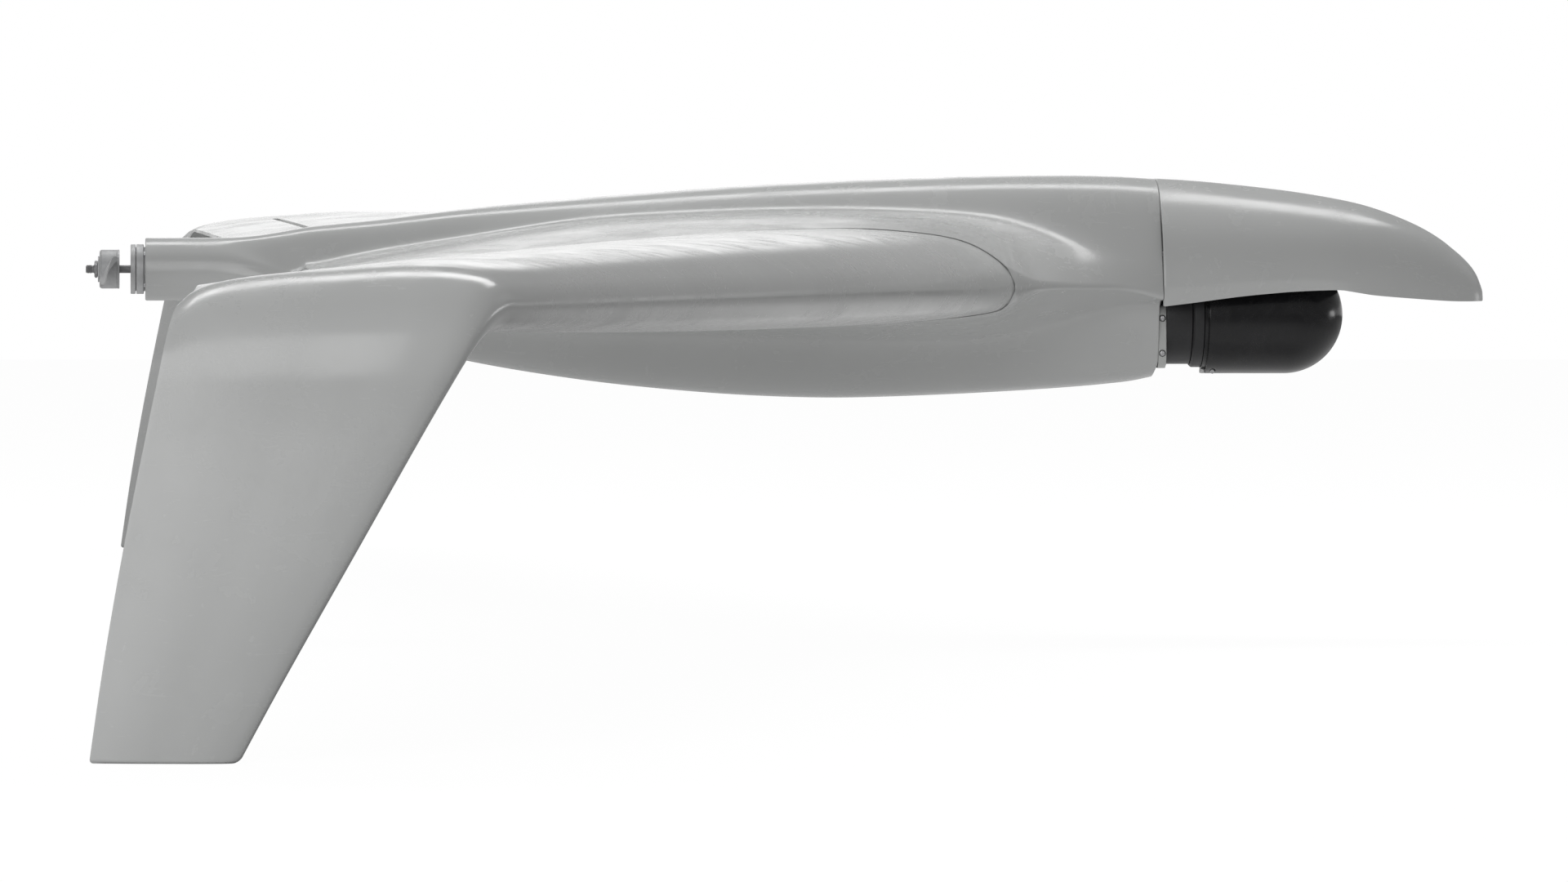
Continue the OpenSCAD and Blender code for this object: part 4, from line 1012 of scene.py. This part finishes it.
# ---------------------------------------------------------------- nose fairing
# tables of (x, value)
BEAK_TOP = [
    [578.1, 52], [600, 50.8], [628, 48], [656, 44.7], [684, 40], [698, 37], [712, 32.1],
    [726, 26.5], [740, 19], [754, 7.8], [761, -0.2], [765.8, -12]]
BEAK_LOW = [
    [578.1, -20.3], [595, -18.2], [628, -14], [660, -11.6], [684, -11], [691, -13.3],
    [705, -14.8], [735, -17.2], [751, -18.2], [765.8, -18.2]]
BEAK_WIDTH = [
    [578.1, 58.4], [600, 57.8], [628, 56], [656, 52.2], [684, 46], [712, 37.5], [740, 25],
    [754, 16], [762, 9], [765.8, 3]]
# steps round a quarter section, out of 40, closer together near the lower edge
BEAK_STEPS = [*range(36), 35.6, 36.2, 36.8, 37.3, 37.8, 38.2, 38.6, 39.0, 39.3, 39.55, 39.75,
              39.9, 40.0]
HOLLOW_X = [570, 590, 610, 628, 645, 655, 662, 668, 673, 677, 680.5, 683, 685, 686.2, 686.5]


def beak_half(x, wall=0.0):
    """(y, z) from crown to lower edge, with a lip turned in at the rear."""
    top, low = faired(BEAK_TOP, x, 9) - wall, faired(BEAK_LOW, x, 6)
    width, height = faired(BEAK_WIDTH, x, 10) - wall, top - low
    lip, lip_height = 3.4 * (1 - ease((x - 655) / 42)), mix(11.0, 5.0, clamp((x - 578) / 110))
    points = []
    for step in BEAK_STEPS:
        angle = math.pi / 2 * step / 40
        y = width * math.sin(angle) ** 1.05
        z = low + height * max(0.0, math.cos(angle)) ** 0.86
        points.append((y - lip * clamp((low + lip_height - z) / lip_height) ** 1.15, z))
    return points


def beak_ring(x):
    half = beak_half(x)
    low = faired(BEAK_LOW, x, 6)
    shares = (0.985, 0.96, 0.9, 0.8, 0.7, 0.6, 0.45, 0.3, 0.15, 0.0)
    return mirrored_ring(x, half + [(half[-1][0] * share, low) for share in shares])


def shrink(ring, factor):
    points = np.array(ring)
    centre = points.mean(0)
    points = centre + (points - centre) * factor
    points[:, 0] = ring[0][0]
    return [tuple(p) for p in points]


def hollow_ring(x):
    """Section of the space under the fairing, closing to a round front end."""
    inside_x = max(x, 578.2)
    scale = math.sqrt(max(0.02, 1 - ((x - 655) / 31.6) ** 2)) if x > 655 else 1.0
    half = beak_half(inside_x, 2.2)
    low = faired(BEAK_LOW, inside_x, 6)
    width = min(faired(BEAK_WIDTH, inside_x, 10) - 3.4, half[-1][0] - 1.3)
    narrow = mix(1, 0.86, 1 - scale)
    points = [(min(y, width) * narrow, mix(low, z, scale)) for y, z in half]
    return mirrored_ring(x, points + [(width * narrow, low - 6), (0, low - 6)])


def build_nose():
    stations = ([578.9] + spread(580, 684, 40) + spread(684, 755, 44) + spread(755, 764.2, 12)
                + [764.6, 765.1, 765.45, 765.68, 765.8])
    rings = [beak_ring(x) for x in stations]
    rear = [inset_at_x(rings[0], x, d) for x, d in ((578.02, 0.5), (578.1, 0.2), (578.35, 0.05))]
    tip = [shrink(ring, f) for ring, f in zip(rings[-4:], (0.97, 0.92, 0.82, 0.62))]
    shape = skin(rear + rings[:-4] + tip)
    nose = add_piece("nose_fairing_skin", shape, "shell_grey", "nose", "nose_fairing", 34)
    cut(nose, skin([hollow_ring(x) for x in HOLLOW_X]))
    smooth(nose.data, 34)


# ---------------------------------------------------------------- wings and elevons
AFT_STEPS, FORE_STEPS = 10, 34  # chord steps behind and ahead of the elevon cut
SLOT_IN, SLOT_OUT = ELEVON_IN - ROOT_Y, ELEVON_OUT - ROOT_Y
SLOT_CLEARANCE = 3.2            # cut ahead of the hinge line
WING_STATIONS = (
    [0.95] + spread(4, SLOT_IN - 10, 28) + [SLOT_IN - 10, SLOT_IN]
    + spread(SLOT_IN + 10, SLOT_OUT - 10, 40) + [SLOT_OUT - 10, SLOT_OUT]
    + spread(853, FLAT_LENGTH - 14, 18) + spread(FLAT_LENGTH - 14, BEND_END + 14, 34)
    + spread(BEND_END + 14, WING_END - 8, 36)
    + [WING_END - d for d in (8, 6, 5, 4, 3.2, 2.5, 2, 1.5, 1.1, 0.8, 0.5, 0.25, 0.1, 0.0)])


def cut_fraction(u):
    if u <= SLOT_OUT:
        return chord_fraction(u, hinge_x(u + ROOT_Y) + SLOT_CLEARANCE)
    at_end = chord_fraction(SLOT_OUT, hinge_x(ELEVON_OUT) + SLOT_CLEARANCE)
    return mix(at_end, 0.66, ease((u - SLOT_OUT) / 80))


def chord_steps(u):
    """Chord fractions from trailing to leading edge, closer together at the front."""
    split = cut_fraction(u)
    aft = [mix(1, split, i / AFT_STEPS) for i in range(AFT_STEPS)]
    fore = [split * (1 - math.sin(math.pi / 2 * (i / FORE_STEPS))) ** 1.25
            for i in range(FORE_STEPS)]
    return aft + fore + [0.0]


def quarter_round(distance, radius):
    """How far an edge is drawn back at this distance from the wing's end."""
    if distance >= radius:
        return 0.0
    return radius - math.sqrt(max(0, radius * radius - (radius - distance) ** 2))


def tip_rounded_point(u, t, side):
    """wing_point() with faired edges and a rounded end."""
    to_end = WING_END - u
    lead, trail = faired(LEADING_X, u, 16), faired(TRAILING_X, u, 12)
    front = lead - quarter_round(to_end, 3.2)
    chord = front - (trail + quarter_round(to_end, 2))
    height = (lead - trail) * wing_height(u, t, side, chord)
    height -= math.copysign(min(quarter_round(to_end, 1.4), abs(height) * 0.8), height)
    return off_path(u, front - t * chord, height)


def wing_ring(u):
    steps = chord_steps(u)
    ring = ([tip_rounded_point(u, t, 1) for t in steps]
            + [tip_rounded_point(u, t, -1) for t in steps[::-1][1:]])
    if u > 30:
        return ring
    # the root is a little smaller than the body's rib, so the joint shows as a fine step
    smaller = inset(ring, 0.62 * (1 - ease(u / 30)), (0, 2))
    limit = ring[0][0] + 6
    return [small if full[0] > limit else full for small, full in zip(smaller, ring)]


def wing_shape():
    rings = [wing_ring(u) for u in WING_STATIONS]
    n = len(rings[0])
    # rounded root edge: distance from the root, inset
    root = [inset_at_y(rings[0], ROOT_Y + y, d) for y, d in ((0.15, 0.8), (0.28, 0.34), (0.55, 0.08))]
    rings = root + rings
    slot_start = len(root) + WING_STATIONS.index(SLOT_IN)
    slot_end = len(root) + WING_STATIONS.index(SLOT_OUT)
    low_cut = n - 1 - AFT_STEPS
    faces = []
    for i in range(len(rings) - 1):
        in_slot = slot_start <= i < slot_end
        a, b = i * n, (i + 1) * n
        for j in range(n):
            if in_slot and (j < AFT_STEPS or j >= low_cut):
                continue
            k = (j + 1) % n
            faces.append([a + j, a + k, b + k, b + j])
        if in_slot:
            faces.append([a + AFT_STEPS, b + AFT_STEPS, b + low_cut, a + low_cut])
    for i in (slot_start, slot_end):
        faces.append([i * n + j for j in [*range(AFT_STEPS + 1), *range(low_cut, n)]])
    faces.append(list(range(n))[::-1])
    faces.append([(len(rings) - 1) * n + j for j in range(n)])
    return [p for ring in rings for p in ring], faces


def elevon_ring(y, steps=14):
    hinge = hinge_point(y)
    low_x = hinge[0] - (hinge[2] - skin_z(y, hinge[0], -1)) * 0.60
    trail = trailing_at(y) + 0.1
    upper = [mix(trail, hinge[0] - 0.4, i / steps) for i in range(steps + 1)]
    lower = [mix(low_x, trail, i / steps) for i in range(steps + 1)]
    nose = [math.radians(a) for a in range(78, -63, -14)]
    return ([(x, y, skin_z(y, x, 1)) for x in upper]
            + [(hinge[0] + 2.2 * math.cos(a), y, hinge[2] + 2.2 * math.sin(a)) for a in nose]
            + [(x, y, skin_z(y, x, -1)) for x in lower])


def elevon_shape():
    inner, outer, bevel = ELEVON_IN + ELEVON_GAP, ELEVON_OUT - ELEVON_GAP, 0.5
    rings = [elevon_ring(y) for y in spread(inner, outer, 46) + [outer]]
    inner_end = inset_at_y(rings[0], inner, bevel)
    outer_end = inset_at_y(rings[-1], outer, bevel)
    rings[0] = [(x, y + bevel, z) for x, y, z in rings[0]]
    rings[-1] = [(x, y - bevel, z) for x, y, z in rings[-1]]
    return skin([inner_end] + rings + [outer_end])


def servo_box(xs, ys):
    """Pocket at the servo, given from the hinge, open through the lower skin."""
    verts, faces = box([SERVO_FORWARD + x for x in xs], ys, (-60, SERVO_Z + 6.3))
    return [from_servo(v) for v in verts], faces


def build_wings():
    wing, elevon = wing_shape(), elevon_shape()
    pockets = [servo_box((-6.3, 17.3), (-26.3, -8.1)), servo_box((-16, 26), (-8.2, 6.5))]
    pockets += [tube_y(x, z, (140, ROOT_Y + depth), radius) for x, z, radius, depth in CROSS_BORES]
    pockets.append(box(POCKET_X, (140, 162.1), POCKET_Z))
    for side, hand in zip(SIDES, ("left", "right")):
        panel = add_piece(f"{hand}_wing_skin", mirror(wing, side), "shell_grey",
                          f"{hand}_wing_panel", f"{hand}_wing", 30)
        for pocket in pockets:
            cut(panel, mirror(pocket, side))
        add_piece(f"{hand}_elevon_skin", mirror(elevon, side), "shell_grey",
                  f"{hand}_elevon_panel", f"{hand}_elevon", 32)


# ---------------------------------------------------------------- motor and propeller
PROP_PITCH = 165.0
PROP_X = -20.6
# (radius, chord)
BLADE_CHORD = [[8, 12], [14, 13.5], [25, 16.5], [45, 18.4], [70, 17.8], [95, 15.2],
               [115, 11], [124, 7.2], [127, 4]]


def sleeve(x0, x1, bore, radius, rounding):
    """Plain turned ring on the X axis."""
    return lathe(rounded([(x0, bore), (x0, radius), (x1, radius), (x1, bore)], rounding))


def thread(start, end, radius, pitch=0.8, segments=48, depth=0.42):
    """Rings of a screw thread from its tapered free end."""
    steps = int((end - start) / pitch * 12)
    rings = []
    for i in range(steps + 1):
        x = start + (end - start) * i / steps
        taper = min(1.0, (x - start) / 0.7)
        radii = []
        for j in range(segments):
            crest = abs((x / pitch - j / segments) % 1.0 - 0.5) * 2
            radii.append(radius - depth * (1 - crest) - 0.5 * (1 - taper))
        rings.append(ring_about_x(x, radii))
    return rings


def shaft_shape():
    plain = [(-30.6, 2.1), (-29.75, 2.1), (-29.4, 2.42), (-26.5, 2.42), (-26.35, 2.25)]
    plain += [(x, 2.25) for x in (-20, -12, -4, 6, 20, 40, 59.1)] + [(59.5, 1.9)]
    return skin(thread(-34.1, -30.75, 2.5) + [ring_about_x(x, [r] * 48) for x, r in plain])


def hex_nut(x0, x1, flats, bore, segments=96):
    """Hexagonal nut along X with chamfered corners and bore."""
    corner, chamfered = flats / 2 / math.cos(math.pi / 6), flats / 2 * 0.97
    rings = []
    for x, limit in ((x0, chamfered), (x0 + 0.45, corner), (x1 - 0.45, corner), (x1, chamfered)):
        radii = []
        for j in range(segments):
            off_flat = (2 * math.pi * j / segments) % (math.pi / 3) - math.pi / 6
            radii.append(min(flats / 2 / math.cos(off_flat), limit))
        rings.append(ring_about_x(x, radii))
    for x, radius in ((x1, bore + 0.35), (x1 - 0.3, bore), (x0 + 0.3, bore), (x0, bore + 0.35)):
        rings.append(ring_about_x(x, [radius] * segments))
    return skin(rings, looped=True)


def blade_shapes():
    rings, n = [], 16
    for i in range(61):
        f = i / 60
        radius = 8 + 119 * f
        chord = faired(BLADE_CHORD, radius, 6)
        if f > 0.985:
            chord *= math.sqrt(max(0.05, 1 - ((f - 0.985) / 0.015) ** 2 * 0.9))
        pitch = min(math.radians(38), math.atan(PROP_PITCH / (2 * math.pi * radius)))
        thick = chord * mix(0.16, 0.075, clamp(f * 1.5))
        ring = []
        for k in range(2 * n):
            c = math.cos(math.pi * k / n)
            along = c * chord / 2
            height = (math.sin(math.pi * k / n) * thick / 2 * (1 - 0.3 * c)
                      + 0.05 * chord * (1 - c ** 2))
            ring.append((PROP_X + along * math.sin(pitch) - height * math.cos(pitch), radius,
                         along * math.cos(pitch) + height * math.sin(pitch)))
        rings.append(ring)
    verts, faces = skin(rings)
    return ([(x, -y, z) for x, y, z in verts], faces), ([(x, y, -z) for x, y, z in verts], faces)


def build_motor_and_propeller():
    bell = [(-8.4, 5.52), (-8.4, 14.2), (-5.6, 14.2), (-5.6, 12.6), (-5.15, 12.6),
            (-5.15, 8.9), (2, 8.9), (2, 5.52)]
    mount = [(-5.1, 9), (-5.1, 14.2), (-0.9, 14.2), (-0.9, 12.6), (1, 12.6), (1, 15.9),
             (14, 15.9), (14, 9)]
    add_piece("motor_end_bell_turned", lathe(rounded(bell, 0.45)), "motor_alloy", "airframe",
              "motor_end_bell")
    add_piece("motor_mount_turned", lathe(rounded(mount, 0.4)), "motor_alloy", "airframe",
              "motor_mount")
    add_piece("motor_shaft_turned", shaft_shape(), "motor_dark", "prop_shaft", "motor_shaft", 40)
    add_piece("prop_backplate_turned", sleeve(-16.15, -14.85, 2.27, 11.15, 0.3), "motor_alloy",
              "prop_shaft", "prop_backplate")
    large = [(-26.2, 2.52), (-26.2, 10.2), (-25.25, 11.15), (-25.25, 2.52)]
    washers = join(lathe(rounded(large, 0.25)), sleeve(-27.15, -26.25, 2.52, 7.4, 0.2))
    add_piece("prop_washer_turned", washers, "motor_alloy", "prop_shaft", "prop_washer")
    nut = hex_nut(-29.2, -27.2, flats=8.6, bore=2.53)
    add_piece("prop_nut_hex", nut, "motor_dark", "prop_shaft", "prop_nut", 25)
    propeller = join(sleeve(-25.2, -16.2, 2.28, 11.1, 0.35), *blade_shapes())
    add_piece("propeller_moulded", propeller, "prop_composite", "prop_shaft", "propeller", 40)


# ---------------------------------------------------------------- turret
TURRET_Z = -25.9
DOME_RADIUS, DOME_WALL = 33.7, 2
DOME_START, DOME_CENTRE = 606.7, 651.8    # x range of the straight part
DOME_SCREW_X, DOME_SCREW_Z = 610.2, TURRET_Z - 32.3
FLANGE_SCREW_X = 580
FLANGE_SCREWS = [(side, z) for side in SIDES for z in (-27.5, -47.5)]
# (y, z)
FLANGE_OUTLINE = [(-25, -20.5), (25, -20.5), (26.5, -24), (26.5, -50), (24.5, -54), (19, -56.2),
                  (-19, -56.2), (-24.5, -54), (-26.5, -50), (-26.5, -24)]


def build_neck_and_collar():
    neck = [(582.4, 8), (582.4, 28.4), (597.25, 28.4), (597.25, 22.1), (590, 22.1), (590, 8)]
    collar = [(590.6, 14), (590.6, 18), (597.2, 18), (597.2, 21.9), (597.4, 21.9), (597.4, 29.0),
              (598.6, 30.2), (603.9, 30.2), (603.9, 14)]
    for node, profile, rounding, body in (("payload_neck", neck, 0.5, "airframe"),
                                          ("turret_collar", collar, 0.4, "turret")):
        shape = lathe(rounded(profile, rounding), z=TURRET_Z, segments=128)
        add_piece(node + "_turned", shape, "black_plastic", body, node)


def dome_arc(radius, degrees):
    return [(DOME_CENTRE + radius * math.sin(math.radians(a)), radius * math.cos(math.radians(a)))
            for a in degrees]


def build_dome():
    segments, inside = 160, DOME_RADIUS - DOME_WALL
    outer = [(604.0, 28.6), (604.0, 30.8), (604.15, 31.0), (606.2, 31.0), (606.2, 33.1),
             (606.35, 33.5), (DOME_START, DOME_RADIUS), (606.95, DOME_RADIUS)]
    outer += [(DOME_START + (DOME_CENTRE - DOME_START) * i / 8, DOME_RADIUS) for i in range(1, 8)]
    outer += dome_arc(DOME_RADIUS, range(0, 90, 2)) + [(DOME_CENTRE + DOME_RADIUS, 0.0)]
    inner = [(DOME_CENTRE + inside, 0.0)] + dome_arc(inside, range(88, -1, -4))
    inner += [(608.2, inside), (608.2, 28.6)]
    verts, faces = join(*(lathe(profile, z=TURRET_Z, segments=segments, closed=False)
                          for profile in (outer, inner)))
    last = len(verts) - segments
    for j in range(segments):
        k = (j + 1) % segments
        faces.append([j, k, last + k, last + j])
    dome = add_piece("turret_dome_shell", (verts, faces), "smoked_dome", "turret",
                     "turret_dome", 30)
    screw_hole = [(5.0, 0), (5.0, 1.05), (8.35, 1.05), (8.35, 1.65), (20, 1.65), (20, 0)]
    for side in SIDES:
        hole = lathe(screw_hole, segments=32, closed=False)
        cut(dome, along_y(hole, DOME_SCREW_X, 0, DOME_SCREW_Z, side))
    smooth(dome.data, 30)


def plate(x0, x1, outline, rounding, bevel):
    """Flat plate between x0 and x1 with bevelled edges."""
    ring = [(x0, y, z) for y, z in rounded(outline, rounding, 5)]
    edge = bevel * 0.3
    levels = ((x0, bevel), (x0 + edge, edge), (x0 + bevel, 0),
              (x1 - bevel, 0), (x1 - edge, edge), (x1, bevel))
    return skin([inset_at_x(ring, x, d) for x, d in levels])


def pan_screw(x, y, z, side, radius, head):
    """Pan-head screw along Y with its head to the given side."""
    profile = [(0, 0.0), (0, radius * 0.55), (-head * 0.12, radius * 0.82), (-head * 0.45, radius),
               (-head, radius), (-head, 1.0), (-head - 5.5, 1.0), (-head - 6, 0.6),
               (-head - 6, 0.0)]
    return along_y(lathe(profile, segments=40, closed=False), x, y, z, side)


def build_flange():
    shape = join(plate(577.8, 582.3, FLANGE_OUTLINE, 1.6, 0.35),
                 bevel_box((560, 577.9), (-17, 17), (-50, -24), 1.0))
    flange = add_piece("payload_flange_plate", shape, "flange_grey", "airframe",
                       "payload_flange", 30)
    for side, z in FLANGE_SCREWS:
        cut(flange, tube_y(FLANGE_SCREW_X, z, out_to_side(side, 23.2, 28), 2.0))
    heads = [pan_screw(FLANGE_SCREW_X, side * 27.3, z, side, 1.5, 0.75)
             for side, z in FLANGE_SCREWS]
    screws = add_piece("flange_screw_heads", join(*heads), "steel", "airframe",
                       "flange_screws", 30)
    for side, z in FLANGE_SCREWS:
        cut(screws, box((579.8, 580.2), out_to_side(side, 27.0, 28), (z - 1.05, z + 1.05)))


def build_dome_fixings():
    verts, faces = bevel_box((604.05, 606.1), (-4.5, 4.5), (-DOME_RADIUS + 0.1, -31.05), 0.3, 3)
    clips = [([(x, y * turn, z * turn + TURRET_Z) for x, y, z in verts], faces) for turn in SIDES]
    add_piece("dome_clip_bevelled", join(*clips), "flange_grey", "turret", "dome_clip", 30)
    verts, faces = join(*(pan_screw(DOME_SCREW_X, side * 9.5, DOME_SCREW_Z, side, 1.45, 0.8)
                          for side in SIDES))
    # the shanks stop short of the centre line
    verts = [(x, math.copysign(max(5.0, abs(y)), y), z) for x, y, z in verts]
    screws = add_piece("dome_screw_heads", (verts, faces), "steel", "turret", "dome_screws", 30)
    for side in SIDES:
        cut(screws, box((610.0, 610.4), out_to_side(side, 9.2, 10),
                        (TURRET_Z - 33.3, TURRET_Z - 31.3)))


def dress_cad_nodes():
    for name, node in frame["nodes"].items():
        material = MATERIALS[SLOT[name]]
        if not node.material_slots:
            node.data.materials.append(material)
        for slot in node.material_slots:
            slot.link = "DATA"
            slot.material = material


# ---------------------------------------------------------------- floor, lights, world, camera
def stage_material():
    """Floor that the camera sees as near white but that lights the aircraft as mid grey."""
    material = bpy.data.materials.new("stage_white")
    graph = Graph(material)
    position = graph.add("NewGeometry").outputs["Position"]
    distance = graph.add("VectorMath", {0: position}, operation="LENGTH").outputs["Value"]
    glow = graph.remap(distance, over=(0.35, 1.1), to=(0.36, 0.03))

    def lit(grey, emission):
        diffuse = graph.add("BsdfDiffuse", {0: (grey, grey, grey)})
        return graph.add("AddShader", {0: diffuse.outputs[0], 1: emission.outputs[0]}).outputs[0]

    lighting = lit(0.38, graph.add("Emission", {1: glow}))
    white = graph.add("Emission", {0: (1, 1, 1), 1: 0.97})
    diffuse = graph.add("BsdfDiffuse", {0: (0.05, 0.05, 0.05)})
    seen = graph.add("AddShader", {0: white.outputs[0], 1: diffuse.outputs[0]}).outputs[0]
    graph.split_camera(lighting, seen, "OutputMaterial")
    return material


def build_floor():
    corners = [(-7, -4.6), (7, -4.6), (7, 6), (-7, 6)]
    mesh = bpy.data.meshes.new("stage_floor")
    mesh.from_pydata([(x, y, -0.0004) for x, y in corners], [], [[0, 1, 2, 3]])
    floor = bpy.data.objects.new("stage_floor", mesh)
    bpy.context.scene.collection.objects.link(floor)
    mesh.materials.append(stage_material())


def area_light(name, at, aim, width, height, power):
    light = bpy.data.lights.new(name, "AREA")
    light.energy = power
    light.shape = "RECTANGLE"
    light.size = width
    light.size_y = height
    lamp = bpy.data.objects.new(name, light)
    bpy.context.scene.collection.objects.link(lamp)
    lamp.location = at
    lamp.rotation_euler = (Vector(aim) - Vector(at)).to_track_quat("-Z", "Y").to_euler()
    lamp.visible_camera = False


def build_lights():
    area_light("overhead_strip", at=(0.0, 0.85, 2.5), aim=(0, 0.0, 0.1),
               width=3.4, height=0.7, power=46)
    area_light("nose_strip", at=(3.4, 0.80, 0.22), aim=(0.2, 0, 0.20),
               width=0.9, height=0.34, power=3.5)
    area_light("nose_box", at=(2.9, 0.9, 1.35), aim=(0.3, 0, 0.15),
               width=1.2, height=1.0, power=1.3)
    area_light("fin_fill", at=(-1.15, -3.3, 0.75), aim=(-0.35, -1.0, 0.10),
               width=2.2, height=2.6, power=47)


# sky brightness: ((sine of elevation + 1) / 2, grey)
SKY_NEAR = [(0.0, 0.26), (0.48, 0.28), (0.60, 0.29), (0.70, 0.23), (0.85, 0.17), (1.0, 0.28)]
SKY_FAR_MIDDLE = [(0.0, 0.30), (0.49, 0.55), (0.50, 0.95), (0.53, 1.05), (0.56, 1.40),
                  (0.66, 1.50), (0.75, 0.34), (1.0, 0.26)]
SKY_FAR_SIDES = [(0.0, 0.30), (0.475, 0.34), (0.488, 0.75), (0.518, 0.75), (0.535, 0.34),
                 (0.90, 0.26), (1.0, 0.28)]


def sky_ramp(graph, value, stops):
    node = graph.add("ValToRGB", {0: graph.remap(value, over=(-1, 1), kind="LINEAR")})
    node.color_ramp.interpolation = "EASE"
    elements = node.color_ramp.elements
    for end in (0, -1):
        elements[end].color = (*[stops[end][1]] * 3, 1)
    for position, grey in stops[1:-1]:
        elements.new(position).color = (grey, grey, grey, 1)
    return node.outputs[0]


def build_world():
    """Dim on the camera's side and bright on the far side; the camera sees plain white."""
    world = bpy.data.worlds.new("studio")
    bpy.context.scene.world = world
    graph = Graph(world)
    direction = graph.add("TexCoord").outputs["Generated"]
    x, y, z = graph.add("SeparateXYZ", {0: direction}).outputs
    near = sky_ramp(graph, z, SKY_NEAR)
    # a wide soft box a little above the horizon straight behind, tapering to the sides
    taper = graph.calc("MULTIPLY", graph.calc("ABSOLUTE", x), 2.2)
    middle = sky_ramp(graph, graph.calc("ADD", z, taper), SKY_FAR_MIDDLE)
    sides = sky_ramp(graph, z, SKY_FAR_SIDES)
    sideways = graph.remap(graph.calc("ABSOLUTE", x), over=(0.18, 0.36))
    far = graph.blend(sideways, middle, sides)
    sky = graph.blend(graph.remap(y, over=(-0.15, 0.55)), near, far)
    lighting = graph.add("Background", {0: sky, 1: 1.0}).outputs[0]
    seen = graph.add("Background", {0: (1, 1, 1)}).outputs[0]
    graph.split_camera(lighting, seen, "OutputWorld")


def build_camera():
    """Long lens level along +Y from the aircraft's right, shifted to frame it."""
    scene = bpy.context.scene
    scene.view_settings.view_transform = "Standard"
    scene.view_settings.look = "None"
    scene.view_settings.exposure = 0.0
    lens = bpy.data.cameras.new("camera")
    lens.sensor_fit = "HORIZONTAL"
    lens.sensor_width = 36.0
    lens.lens = 227.625
    lens.shift_x = 0.38125
    lens.shift_y = -0.21848958
    lens.clip_start = 0.1
    lens.clip_end = 60
    camera = bpy.data.objects.new("camera", lens)
    scene.collection.objects.link(camera)
    camera.location = to_scene(23.4, -5679, 97.8)
    camera.rotation_euler = (math.radians(90), 0, 0)
    scene.camera = camera


build_materials()
build_centre_body()
build_nose()
build_wings()
build_motor_and_propeller()
build_neck_and_collar()
build_dome()
build_flange()
build_dome_fixings()
dress_cad_nodes()
build_floor()
build_lights()
build_world()
build_camera()
